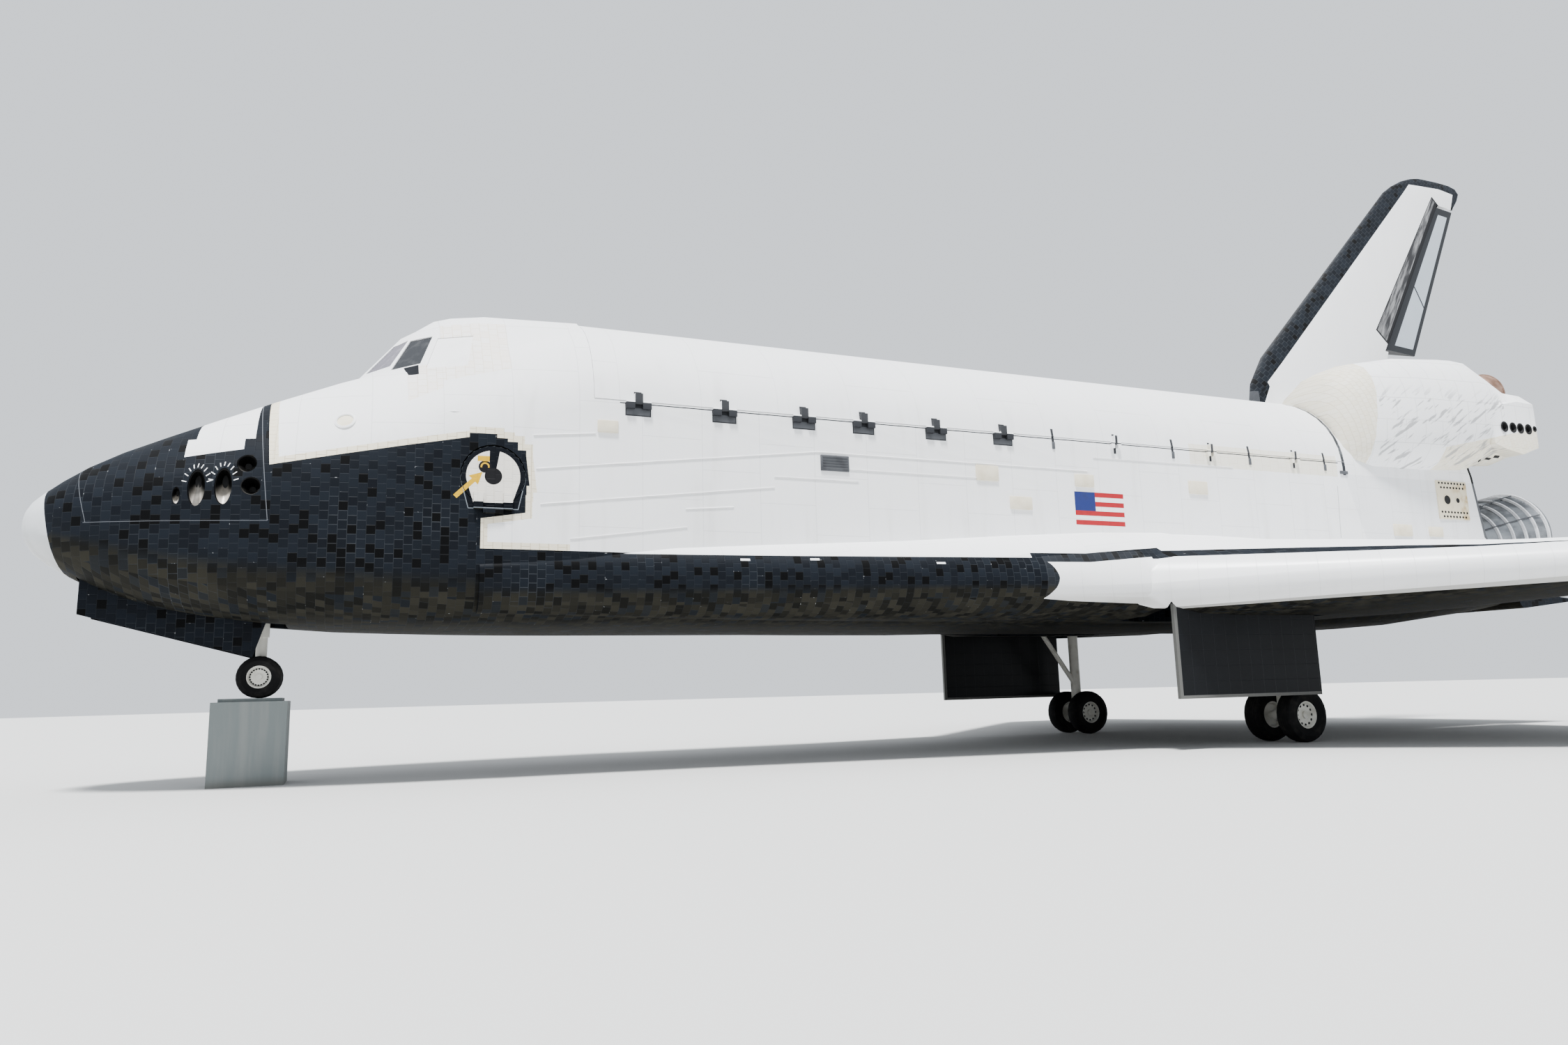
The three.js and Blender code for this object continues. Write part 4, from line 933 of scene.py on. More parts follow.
    @staticmethod
    def brushed_strip(paint: Paint) -> tuple[Wire, bpy.types.NodeSocket]:
        """The brushed metal strip on the fin ahead of the rudder, with its dark rim.

        Args:
            paint: The material.

        Returns:
            A mask of the strip, and its colour.
        """
        fore, up = Tail.hinge_frame(paint)
        strip = fore.between(-34, 0.5) * up.between(6, 237) * (fore > up * 0.0606 - 30.3)
        brushed = paint.vector(fore * 0.16, paint.y * 0.05, up * 0.025)
        grain = paint.node("ShaderNodeTexNoise", {}, {"Vector": brushed, "Scale": 1.6, "Detail": 6.0})
        shine = Wire(paint, grain.outputs[0]).ease(0.38, 0.66)
        metal = paint.mix(shine, (0.05, 0.05, 0.053), (0.30, 0.30, 0.305))
        front = (fore + 30.3 - up * 0.0606).size() < 1.0
        head = (up - 236.0).size() < 1.2
        foot = (up - 7.0).size() < 1.2
        return strip, paint.mix(front | head | foot | (fore > -8.0), metal, PALETTE.seal)

    def fin_skin(self) -> bpy.types.Material:
        """The fin: white, with dark tiles on its front and tip, and a metal strip before the rudder.

        Returns:
            The material.
        """
        paint = Paint("fin_skin")
        x, z = paint.x, paint.z
        # Distances ahead of the fin's leading edge and up along it.
        ahead = (x - 1334) * -0.661 + (z - 559) * 0.75
        run = (x - 1334) * 0.7 + (z - 559) * 0.716
        field = paint.tiles(run, ahead, 6.0, 0.35)
        tile = paint.mix(field.tone * 0.8, PALETTE.black, PALETTE.black_light)
        tile = paint.mix(field.other > 0.88, tile, PALETTE.black_deep)
        tile = paint.mix(field.seam * 0.4, tile, PALETTE.black_joint)
        gaps = ahead.between(-22.5, -20.0) * (run / 13.0).fraction().between(0.15, 0.75)
        tile = paint.mix(gaps * 0.8, tile, PALETTE.black_deep)
        white = self.dirt(paint, self.sheet_white(paint, 0.8), 0.08)

        front = (x - 1330 - (z - 530) * 0.9835 < 0) * (z > 530)
        front = front | (x < 1333 - (z - 526).size() * 0.5) * (z < 531)
        tip = (z > 808 - (x - 1656).size() * 0.03) | (x > 1687)
        aft_edge = (x - 1674 - (z - 779) * 0.31 > 0) * (z > 776)
        colour = paint.mix(front | tip | aft_edge, white, tile)
        strip, metal = self.brushed_strip(paint)
        colour = paint.mix(strip, colour, metal)
        base = (z < 520) * (x < 1318)
        colour = paint.mix(base * 0.8, colour, (0.09, 0.095, 0.105))
        return paint.finish(colour, 0.55, 0.0, 1 - field.seam * (front | tip), 0.002, 0.3)

    def rudder_skin(self) -> bpy.types.Material:
        """The rudder panels: pale grey with a dark frame and a slanted joint.

        Returns:
            The material.
        """
        paint = Paint("rudder_skin")
        fore, up = Tail.hinge_frame(paint)
        white = paint.mix(paint.noise(1.0, 4.0), (0.52, 0.57, 0.62), (0.42, 0.47, 0.52))
        chord = 46.4 - up * 0.0859
        frame = (fore < 7.0 - up * 0.012) | (fore > chord - 6.0)
        frame = frame | (paint.z < 594) | (paint.z > 774)
        joint = (up - 107.4 + fore * 0.37).size() < 1.1
        colour = paint.mix(frame | joint, white, (0.022, 0.024, 0.028))
        return paint.finish(colour, 0.5, 0.0, 1 - (frame | joint), 0.003)

    def pod_skin(self) -> bpy.types.Material:
        """The manoeuvring pods: cream tiles in front, white sheets behind, with dirt in streaks.

        Returns:
            The material.
        """
        paint = Paint("pod_skin")
        x, z = paint.x, paint.z
        small = paint.tiles(x + z * 0.25, z - x * 0.25, 5.0, 0.25)
        sheets = paint.tiles(z, x, 22.0, 0.35, 0.43)
        cream = paint.mix(small.tone * 0.6, (0.78, 0.75, 0.66), (0.74, 0.69, 0.56))
        cream = paint.mix(small.seam * 0.35, cream, PALETTE.cream_joint)
        white = self.sheet_white(paint, 1.0)
        white = paint.mix(sheets.seam * 0.45, white, (0.45, 0.45, 0.46))
        fore = x < 1340 + (z - 455) * 0.12
        belly_patch = (z < 447 + (x - 1470) * 0.2) * (x > 1425)
        colour = paint.mix(fore | belly_patch, white, cream)
        slant = paint.vector((x + z) * 0.022, paint.y * 0.03, (z - x * 0.75) * 0.15)
        smear = paint.node("ShaderNodeTexNoise", {}, {"Vector": slant, "Scale": 1.5, "Detail": 6.0})
        streak = Wire(paint, smear.outputs[0]).ease(0.54, 0.63)
        streak = streak * (1 - z.ease(478, 502)) * x.between(1345, 1500)
        colour = paint.mix(streak * 0.7, colour, (0.26, 0.26, 0.27))
        relief = (1 - small.seam * fore) * (1 - sheets.seam * (1 - fore))
        return paint.finish(colour, 0.62, 0.0, relief, 0.003)

    @staticmethod
    def tile_only() -> bpy.types.Material:
        """Dark tiles all over.

        Returns:
            The material.
        """
        paint = Paint("tile_dark")
        colour, roughness, relief = TileFinish().lay(paint)
        return paint.finish(colour, roughness, 0.0, relief, 0.0035, 0.16)

    @staticmethod
    def panel_black() -> bpy.types.Material:
        """The main gear doors: large dark sheets with a metal edge.

        Returns:
            The material.
        """
        paint = Paint("gear_door_dark")
        field = paint.tiles(paint.x, paint.z, 12.0, 0.2, 0.0)
        base = paint.mix(paint.noise(1.2, 4.0), (0.004, 0.0045, 0.006), (0.011, 0.0125, 0.015))
        base = paint.mix(field.seam * 0.3, base, (0.03, 0.034, 0.04))
        rim = (paint.x < 1020.5) | (paint.z < 205.5)
        colour = paint.mix(rim * 0.7, base, (0.2, 0.2, 0.19))
        return paint.finish(colour, 0.34, 0.0, 1 - field.seam, 0.001, 0.25)

    @staticmethod
    def nose_cap() -> bpy.types.Material:
        """The nose cap: pale grey that darkens below, with weather stains.

        Returns:
            The material.
        """
        paint = Paint("nose_cap_skin")
        low = 1 - paint.z.ease(300, 336)
        base = paint.mix(low * 0.6, (0.66, 0.68, 0.70), (0.36, 0.36, 0.35))
        stain = paint.noise(2.5, 5.0, (1.0, 1.0, 0.4)).ease(0.45, 0.75)
        colour = paint.mix(stain * 0.3, base, (0.45, 0.44, 0.42))
        return paint.finish(colour, 0.38 + stain * 0.15, 0.0, paint.noise(30.0, 2.0), 0.0004)

    @staticmethod
    def pane_glass(name: str, clean: Colour, dusty: Colour) -> bpy.types.Material:
        """Dark glossy panes.

        Args:
            name: The material's name.
            clean: The colour of clean glass.
            dusty: The colour where dust lies.

        Returns:
            The material.
        """
        paint = Paint(name)
        dust = paint.noise(6.0, 4.0).ease(0.45, 0.8)
        colour = paint.mix(dust, clean, dusty)
        return paint.finish(colour, 0.08 + dust * 0.25, 0.0)

    @staticmethod
    def bell_steel() -> bpy.types.Material:
        """The main bells: pale metal with fine tubes that run along them, darkened in blotches drawn out
        along them.

        Returns:
            The material.
        """
        paint = Paint("bell_metal")
        # Darker blotches, drawn out along the bells.
        dark_streaks = paint.noise(2.5, 5.0, (0.4, 1.0, 1.0)).ease(0.35, 0.7)
        colour = paint.mix(dark_streaks * 0.8, (0.36, 0.38, 0.40), (0.09, 0.095, 0.105))
        return paint.finish(colour, 0.32 + dark_streaks * 0.25, 0.6, paint.noise(40.0, 2.0, (0.1, 1.0, 1.0)), 0.001)

    @staticmethod
    def nozzle_copper() -> bpy.types.Material:
        """The manoeuvring nozzles: brown, heat-stained metal.

        Returns:
            The material.
        """
        paint = Paint("nozzle_brown")
        stain = paint.noise(3.0, 5.0).ease(0.35, 0.7)
        colour = paint.mix(stain, (0.20, 0.12, 0.085), (0.36, 0.25, 0.2))
        return paint.finish(colour, 0.4 + stain * 0.2, 0.35, paint.noise(30.0, 2.0), 0.0006)

    @staticmethod
    def thruster_cone() -> bpy.types.Material:
        """The thrusters' lining: heat stains, painted light on the walls that look up and painted shade on
        the rest, with the painted light toned down to near black in the ports aft of station 362.

        Returns:
            The material.
        """
        paint = Paint("thruster_metal")
        stain = paint.noise(6.0, 5.0).ease(0.4, 0.7)
        # Painted light on the faces that look up, painted shade on the rest.
        lit = paint.facing_up.ease(0.0, 0.4)
        bright = paint.mix(stain * 0.6, (0.66, 0.62, 0.56), (0.3, 0.26, 0.22))
        bright = paint.mix((paint.x > 362) * 0.85, bright, (0.05, 0.05, 0.05))
        colour = paint.mix(lit, (0.010, 0.010, 0.010), bright)
        return paint.finish(colour, 0.42 + stain * 0.2, 0.25)

    @staticmethod
    def tyre_rubber() -> bpy.types.Material:
        """Tyre rubber with dust.

        Returns:
            The material.
        """
        paint = Paint("tyre_black")
        dust = paint.noise(5.0, 5.0).ease(0.45, 0.8)
        tread = 1 - paint.facing_side.ease(0.25, 0.5)
        groove = ((paint.y / 2.1).fraction() < 0.16) * tread
        colour = paint.mix(dust * 0.6, (0.010, 0.010, 0.011), (0.05, 0.047, 0.042))
        colour = paint.mix(groove, colour, (0.003, 0.003, 0.003))
        return paint.finish(colour, 0.8, 0.0, paint.noise(80.0, 2.0) * 0.08 - groove, 0.006, 0.3)

    @staticmethod
    def plinth_grey() -> bpy.types.Material:
        """The plinth: grey paint with streaks that run down.

        Returns:
            The material.
        """
        paint = Paint("plinth_paint")
        streak = paint.noise(5.0, 5.0, (1.0, 1.0, 0.08)).ease(0.45, 0.75)
        foot = 1 - paint.z.ease(Grid.GROUND, 172)
        colour = paint.mix(streak * 0.5, (0.22, 0.245, 0.245), (0.32, 0.33, 0.32))
        colour = paint.mix(foot * 0.5, colour, (0.14, 0.13, 0.11))
        return paint.finish(colour, 0.7, 0.0, paint.noise(60.0, 3.0), 0.0008)

    @staticmethod
    def studded_plate() -> bpy.types.Material:
        """The umbilical plate: yellowed cream with rust stains.

        Returns:
            The material.
        """
        paint = Paint("umbilical_plate")
        rust = paint.noise(3.5, 5.0).ease(0.48, 0.68) * paint.x.ease(1440, 1470)
        colour = paint.mix(rust * 0.8, (0.70, 0.64, 0.50), (0.42, 0.28, 0.10))
        return paint.finish(colour, 0.6, 0.0, paint.noise(30.0, 3.0), 0.001)


class Surface:
    """The outside of some CAD nodes, which pieces are set on."""

    def __init__(self, *nodes: str) -> None:
        """Gathers the nodes' faces.

        Args:
            nodes: The CAD nodes' names.
        """
        points: list[Vector] = []
        faces: list[tuple[int, ...]] = []
        for name in nodes:
            mesh = bpy.data.objects[name].data
            start = len(points)
            points += [v.co.copy() for v in mesh.vertices]
            faces += [tuple(start + i for i in face.vertices) for face in mesh.polygons]
        self.tree = BVHTree.FromPolygons(points, faces)

    def beside(self, x: float, z: float, side: Side) -> tuple[Vector, Vector]:
        """The place on the flank at a station and height.

        Args:
            x: The station.
            z: The height on the grid.
            side: Which flank.

        Returns:
            The point in metres and the surface's outward normal there.

        Raises:
            ValueError: If the flank isn't met there.
        """
        start = Grid.at(x, side.value * 500.0, z)
        point, normal, _, _ = self.tree.ray_cast(start, Vector((0.0, -float(side.value), 0.0)))
        if point is None:
            raise ValueError(f"no surface at {x}, {z}")
        return point, normal


class Maker:
    """Turns bmesh shapes into pieces that ride on the craft."""

    @staticmethod
    def piece(
        name: str,
        mesh: bmesh.types.BMesh,
        material: bpy.types.Material,
        body: str,
        slot: str,
        crease: float = 32.0,
    ) -> bpy.types.Object:
        """Makes an object of a shape.

        Args:
            name: The piece's name.
            mesh: Its shape, which is freed.
            material: Its finish.
            body: The CAD body it rides on.
            slot: The record's material slot; it is not used.
            crease: Edges sharper than this many degrees stay sharp.

        Returns:
            The object.
        """
        bmesh.ops.recalc_face_normals(mesh, faces=mesh.faces)
        for face in mesh.faces:
            face.smooth = True
        for edge in mesh.edges:
            edge.smooth = len(edge.link_faces) == 2 and edge.calc_face_angle(0.0) < math.radians(crease)
        data = bpy.data.meshes.new(name)
        mesh.to_mesh(data)
        mesh.free()
        made = bpy.data.objects.new(name, data)
        bpy.context.scene.collection.objects.link(made)
        data.materials.append(material)
        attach(made, body)
        LOG.info("piece %s: %d faces", name, len(data.polygons))
        return made

    @staticmethod
    def lathe(
        mesh: bmesh.types.BMesh,
        profile: Sequence[tuple[float, float]],
        origin: Vector,
        axis: Vector,
        steps: int,
    ) -> None:
        """Turns a closed outline about a line and adds it to a mesh.

        Args:
            mesh: The mesh that gets the shape.
            profile: Radius and distance along the line, in inches.
            origin: A point on the line, in metres.
            axis: The line's direction.
            steps: How many faces there are round it.
        """
        lean = Vector((0.0, 0.0, 1.0)).rotation_difference(axis)
        out = lean @ Vector((1.0, 0.0, 0.0))
        ring = [
            mesh.verts.new(origin + axis.normalized() * (along * INCH) + out * (radius * INCH))
            for radius, along in profile
        ]
        edges = [mesh.edges.new((a, b)) for a, b in zip(ring, ring[1:] + ring[:1])]
        bmesh.ops.spin(
            mesh,
            geom=[*ring, *edges],
            cent=origin,
            axis=axis,
            angle=math.tau,
            steps=steps,
            use_merge=True,
        )
        bmesh.ops.remove_doubles(mesh, verts=mesh.verts, dist=1e-5)

    @staticmethod
    def block(
        mesh: bmesh.types.BMesh,
        size: Point,
        place: Matrix,
        bevel: float = 0.0,
        taper: float = 1.0,
    ) -> None:
        """Adds a block with rounded edges.

        Args:
            mesh: The mesh that gets the block.
            size: Its length, width and height in inches.
            place: Where it goes, with its height along the third axis.
            bevel: The rounding in inches.
            taper: How much smaller its top is than its foot.
        """
        made = bmesh.ops.create_cube(mesh, size=1.0)["verts"]
        bmesh.ops.scale(mesh, vec=Vector(size) * INCH, verts=made)
        top = [v for v in made if v.co.z > 0]
        bmesh.ops.scale(mesh, vec=(taper, taper, 1.0), verts=top)
        if bevel:
            edges = list({edge for v in made for edge in v.link_edges})
            cut = bmesh.ops.bevel(
                mesh,
                geom=edges,
                offset=bevel * INCH,
                offset_type="OFFSET",
                affect="EDGES",
                segments=2,
                profile=0.5,
                material=-1,
            )
            made = list({v for face in cut["faces"] for v in face.verts} | {v for v in made if v.is_valid})
        bmesh.ops.transform(mesh, matrix=place, verts=made)

    @staticmethod
    def on_surface(point: Vector, normal: Vector, up: Vector = Vector((0.0, 0.0, 1.0))) -> Matrix:
        """A frame on a surface.

        Args:
            point: The frame's origin, in metres.
            normal: Its third axis.
            up: The direction that its second axis keeps as near to as it can.

        Returns:
            The frame as a matrix.
        """
        third = normal.normalized()
        first = up.cross(third).normalized()
        second = third.cross(first)
        frame = Matrix((first, second, third)).transposed().to_4x4()
        frame.translation = point
        return frame

    @staticmethod
    def tube(mesh: bmesh.types.BMesh, path: Sequence[Vector], radius: float, sides: int = 8) -> None:
        """Adds a rod with flat ends that follows a line of points.

        Args:
            mesh: The mesh that gets the rod.
            path: The points in metres.
            radius: Its radius in inches.
            sides: How many faces there are round it.
        """
        first = (path[1] - path[0]).normalized()
        made = bmesh.ops.create_circle(mesh, cap_ends=True, radius=radius * INCH, segments=sides)["verts"]
        turn = Vector((0.0, 0.0, 1.0)).rotation_difference(first)
        bmesh.ops.transform(
            mesh, matrix=Matrix.Translation(path[0]) @ turn.to_matrix().to_4x4(), verts=made
        )
        face = made[0].link_faces[0]
        for i in range(1, len(path)):
            grown = bmesh.ops.extrude_face_region(mesh, geom=[face])["geom"]
            verts = [g for g in grown if isinstance(g, bmesh.types.BMVert)]
            if i > 1:
                bmesh.ops.delete(mesh, geom=[face], context="FACES_ONLY")
            face = next(g for g in grown if isinstance(g, bmesh.types.BMFace))
            ahead = path[min(i + 1, len(path) - 1)] - path[i - 1]
            lean = first.rotation_difference(ahead.normalized())
            place = (
                Matrix.Translation(path[i]) @ lean.to_matrix().to_4x4() @ Matrix.Translation(-path[i - 1])
            )
            bmesh.ops.transform(mesh, matrix=place, verts=verts)
            first = ahead.normalized()


class Dresser:
    """Gives the CAD nodes their finishes and smooths their shading."""

    SMOOTH_ANGLE = 34.0

    def __init__(self, finishes: Finishes) -> None:
        """Keeps the finishes that the nodes get."""
        self.finishes = finishes

    def choose(self, node: str) -> bpy.types.Material:
        """The finish of a CAD node, from the first word in the table that its name holds.

        Args:
            node: The node's name.

        Returns:
            The finish.
        """
        f = self.finishes
        table = (
            ("nose_cap", f.cap),
            ("fuselage", f.hull),
            ("side_hatch", f.hull),
            ("side_window_cover", f.cover),
            ("window", f.glass),
            ("windshield", f.front_glass),
            ("payload_door", f.doors),
            ("leading_edge", f.edge),
            ("wing", f.wing),
            ("elevon", f.wing),
            ("vertical_tail", f.fin),
            ("rudder_panel", f.rudder),
            ("rudder_core", f.seal),
            ("main_gear_door", f.gear_door),
            ("nose_gear_door", f.tile),
            ("body_flap", f.tile),
            ("manoeuvring_pod", f.pod),
            ("manoeuvring_nozzle", f.copper),
            ("main_engine", f.steel),
            ("tyre", f.rubber),
            ("plinth", f.plinth),
        )
        for word, material in table:
            if word in node:
                return material
        return f.gear

    def dress(self, nodes: dict[str, bpy.types.Object]) -> None:
        """Dresses every node.

        Args:
            nodes: The frame's nodes by name.
        """
        for name, node in nodes.items():
            node.data.materials.clear()
            node.data.materials.append(self.choose(name))
            for face in node.data.polygons:
                face.use_smooth = True
            weld = node.modifiers.new("weld", "WELD")
            weld.merge_threshold = 1e-4
            split = node.modifiers.new("split", "EDGE_SPLIT")
            split.split_angle = math.radians(self.SMOOTH_ANGLE)
            LOG.info("dressed %s", name)


@dataclass
class Tail:
    """The fin's details.

    Attributes:
        foot: Station and height of the foot of the rudder's hinge line.
        head: Station and height of its head.
    """

    foot: tuple[float, float] = (1524.0, 586.0)
    head: tuple[float, float] = (1648.0, 783.0)

    @classmethod
    def hinge_frame(cls, paint: Paint) -> tuple[Wire, Wire]:
        """Distances on the fin from the foot of the rudder's hinge line, in inches.

        Args:
            paint: The material that they are for.

        Returns:
            How far a point is aft of the hinge line, and how far up along it.
        """
        run, rise = cls.head[0] - cls.foot[0], cls.head[1] - cls.foot[1]
        length = math.hypot(run, rise)
        up_x, up_z = run / length, rise / length
        dx, dz = paint.x - cls.foot[0], paint.z - cls.foot[1]
        return dx * up_z - dz * up_x, dx * up_x + dz * up_z


@dataclass
class Flank:
    """What stands on the sides of the fuselage.

    Attributes:
        finishes: The craft's finishes.
        large_hinges: Stations of the large door hinges.
        small_hinges: Stations of the small ones.
        fairing: Length, height and depth of the block under a large hinge.
        small_fairing: The same of the block under a small one.
        fairing_z: The height of the blocks' middles.
        beads: Raised joints in the white sheets, as lines of stations and heights.
        plates: Cream covers, as their first station, last station, foot and top.
        tab_places: Stations and heights of the white tabs on the glove.
        vent_places: Stations and heights of the slots under the pods' housings.
        slats: How many slats the louvre box has.
        plate_holes: Distance ahead of the umbilical plate's middle and radius of each of its holes.
        stud_rows: Heights of the rows of studs over the plate's middle.
        panel: First station, last station, foot and top of the striped panel.
        corner: Last station of its blue corner.
        stripe_rows: How many stripes, dark and light, the panel has.
    """

    finishes: Finishes
    large_hinges: tuple[float, ...] = (613, 677, 740, 790, 854, 917)
    small_hinges: tuple[float, ...] = (967, 1031, 1095, 1138, 1185, 1240, 1280)
    fairing: Point = (18.4, 5.6, 1.2)
    small_fairing: Point = (2.6, 6.0, 1.6)
    fairing_z: float = 412.9
    beads: tuple[tuple[tuple[float, float], ...], ...] = (
        ((541, 391), (583, 395)),
        ((543, 368), (750, 393), (1000, 393)),
        ((546, 344), (715, 364)),
        ((715, 372), (784, 372)),
        ((777, 381), (890, 381)),
        ((647, 345), (683, 348)),
        ((566, 321), (648, 332)),
        ((1007, 405), (1163, 406)),
    )
    plates: tuple[tuple[float, float, float, float], ...] = (
        (889, 911, 379, 392),
        (920, 942, 357, 368),
        (986, 1006, 379, 390),
        (1109, 1131, 379, 391),
        (584, 599, 396, 405),
        (1362, 1388, 350, 362),
        (1411, 1431, 351, 361),
    )
    tab_places: tuple[tuple[float, float], ...] = ((687, 308.6), (738, 309.4), (833, 307.0))
    vent_places: tuple[tuple[float, float], ...] = ((1488, 430.5), (1497, 432.5), (1506, 434.5))
    slats: int = 5
    plate_holes: tuple[tuple[float, float], ...] = ((9.0, 4.6), (-6.5, 2.6))
    stud_rows: tuple[float, ...] = (17.0, 12.5, -12.5, -17.0)
    panel: tuple[float, float, float, float] = (985.0, 1036.0, 347.0, 375.0)
    corner: float = 1006.0
    stripe_rows: int = 7

    def build(self) -> None:
        """Builds every piece on both flanks."""
        self.surface = Surface("forward_fuselage", "mid_fuselage", "aft_fuselage")
        for side in Side:
            self.fairings(side)
            self.bead_lines(side)
            self.covers(side)
            self.louvre(side)
            self.door_seal(side)
            self.tracker(side)
            self.tabs(side)
            self.vents(side)
        for side in Side:
            self.umbilical(side)
        for side in Side:
            self.stripes(side)

    def door_seal(self, side: Side) -> None:
        """Builds the dark foot of the payload door's end seal, on the sill.

        Args:
            side: Which door.
        """
        mesh = bmesh.new()
        foot, _ = self.surface.beside(1304, 409.5, side)
        Maker.block(mesh, (10.0, 3.0, 2.4), Maker.on_surface(foot, Vector((0.0, side.value, 0.0))), 0.4)
        Maker.piece(f"door_seal_{side.name}", mesh, self.finishes.fairing, "root", "hinge_grey", 60.0)

    def tracker(self, side: Side) -> None:
        """Builds the round frame of the star tracker's opening, with its shaded plate.

        Args:
            side: Which flank.
        """
        point, normal = self.surface.beside(424, 397, side)
        frame = bmesh.new()
        Maker.lathe(frame, [(5.0, -0.4), (5.0, 0.5), (5.6, 0.9), (6.8, 0.5), (6.8, -0.4)], point, normal, 32)
        Maker.piece(f"tracker_frame_{side.name}", frame, self.finishes.cover, "root", "tile_white")
        plate = bmesh.new()
        Maker.lathe(plate, [(0.001, -0.4), (5.0, -0.4), (5.0, 0.12), (0.001, 0.12)], point, normal, 32)
        Maker.piece(f"tracker_plate_{side.name}", plate, self.finishes.cream, "root", "tile_white")

    def tabs(self, side: Side) -> None:
        """Builds the small white tabs in the dark border of the glove.

        Args:
            side: Which wing.
        """
        glove = Surface(f"wing_{side.name}")
        mesh = bmesh.new()
        for x, z in self.tab_places:
            point, normal = glove.beside(x, z, side)
            Maker.block(mesh, (7.0, 1.8, 0.3), Maker.on_surface(point, normal))
        Maker.piece(f"glove_tabs_{side.name}", mesh, self.finishes.cover, "root", "tile_white")

    def vents(self, side: Side) -> None:
        """Builds the slots under the rear housing of a pod, as low dark blocks of painted shade.

        Args:
            side: Which pod.
        """
        pod = Surface(f"manoeuvring_pod_{side.name}")
        mesh = bmesh.new()
        for x, z in self.vent_places:
            point, normal = pod.beside(x, z, side)
            # Each slot is a low dark block: painted shade for the opening.
            Maker.block(mesh, (8.0, 3.0, 0.8), Maker.on_surface(point, normal), 0.2)
        Maker.piece(f"pod_vents_{side.name}", mesh, self.finishes.dark, "root", "hinge_grey")

    def fairings(self, side: Side) -> None:
        """Builds the dark blocks on the sill under the large hinges, and under every other small one.

        Args:
            side: Which door.
        """
        mesh = bmesh.new()
        level = Grid.at(0, 0, self.fairing_z).z
        outward = Vector((0.0, side.value, 0.0))
        for x in self.large_hinges:
            point, _ = self.surface.beside(x, 412.0, side)
            frame = Maker.on_surface(point, outward)
            frame.translation.z = level
            frame.translation.y -= side.value * 0.4 * INCH
            Maker.block(mesh, self.fairing, frame, 0.3, 0.92)
        for x in self.small_hinges[::2]:
            point, _ = self.surface.beside(x, 413.0, side)
            frame = Maker.on_surface(point, outward)
            frame.translation.z = level
            Maker.block(mesh, self.small_fairing, frame, 0.2)
        Maker.piece(f"hinge_fairings_{side.name}", mesh, self.finishes.fairing, "root", "hinge_grey")

    def bead_lines(self, side: Side) -> None:
        """Builds the raised joints in the white sheets.

        Args:
            side: Which flank.
        """
        mesh = bmesh.new()
        for line in self.beads:
            path: list[Vector] = []
            for (x0, z0), (x1, z1) in zip(line, line[1:]):
                count = max(2, int((x1 - x0) / 16))
                for i in range(count + 1):
                    share = i / count
                    x, z = x0 + (x1 - x0) * share, z0 + (z1 - z0) * share
                    point, normal = self.surface.beside(x, z, side)
                    if not path or (point - path[-1]).length > 1e-3:
                        path.append(point + normal * 0.1 * INCH)
            Maker.tube(mesh, path, 0.55, 6)
        Maker.piece(f"raised_joints_{side.name}", mesh, self.finishes.bead, "root", "tile_white", 60.0)

    def covers(self, side: Side) -> None:
        """Builds the cream covers of the vents.

        Args:
            side: Which flank.
        """
        mesh = bmesh.new()
        for x0, x1, z0, z1 in self.plates:
            point, _ = self.surface.beside((x0 + x1) / 2, (z0 + z1) / 2, side)
            frame = Maker.on_surface(point, Vector((0.0, side.value, 0.0)))
            Maker.block(mesh, (x1 - x0, z1 - z0, 3.0), frame, 0.5, 0.94)
        Maker.piece(f"vent_covers_{side.name}", mesh, self.finishes.cream, "root", "tile_white")

    def louvre(self, side: Side) -> None:
        """Builds the dark box with slats.

        Args:
            side: Which flank.
        """
        mesh = bmesh.new()
        point, _ = self.surface.beside(764.5, 385.0, side)
        frame = Maker.on_surface(point, Vector((0.0, side.value, 0.0)))
        Maker.block(mesh, (23.5, 12.0, 2.4), frame, 0.4)
        tilt = Matrix.Rotation(math.radians(32), 4, "X")
        for i in range(self.slats):
            shift = Matrix.Translation((0.0, (i - (self.slats - 1) / 2) * 2.1 * INCH, 1.3 * INCH))
            Maker.block(mesh, (21.0, 1.7, 0.3), frame @ shift @ tilt)
        Maker.piece(f"louvre_box_{side.name}", mesh, self.finishes.fairing, "root", "hinge_grey")

    def umbilical(self, side: Side) -> None:
        """Builds the plate near the stern with its studs, and its holes as flat dark discs of painted shade.

        Args:
            side: Which flank.
        """
        plate = bmesh.new()
        dark = bmesh.new()
        point, _ = self.surface.beside(1451, 389, side)
        frame = Maker.on_surface(point, Vector((0.0, side.value, 0.0)))
        outward = frame.to_3x3() @ Vector((0.0, 0.0, 1.0))
        Maker.block(plate, (44.0, 39.0, 2.2), frame, 0.3)
        for ahead, radius in self.plate_holes:
            middle = frame @ Vector((side.value * ahead * INCH, 0.0, 1.1 * INCH))
            rim = [(radius + 0.7, -0.3), (radius + 0.7, 0.35), (radius, 0.35), (radius, -0.3)]
            Maker.lathe(plate, rim, middle, outward, 24)
            # The hole is a flat dark disc inside the rim: painted shade for the opening.
            hole = [(0.001, -0.2), (radius, -0.2), (radius, 0.1), (0.001, 0.1)]
            Maker.lathe(dark, hole, middle, outward, 24)
        stud = [(0.001, -0.1), (1.1, -0.1), (1.1, 0.3), (0.001, 0.3)]
        for row, dz in enumerate(self.stud_rows):
            for i in range(9 - row % 2):
                spot = frame @ Vector(((i * 4.6 - 18.4 + row % 2 * 2.3) * INCH, dz * INCH, 1.1 * INCH))
                Maker.lathe(dark, stud, spot, outward, 8)
        Maker.piece(f"umbilical_plate_{side.name}", plate, self.finishes.plate, "root", "tile_white")
        Maker.piece(f"umbilical_ports_{side.name}", dark, self.finishes.dark, "root", "hinge_grey")

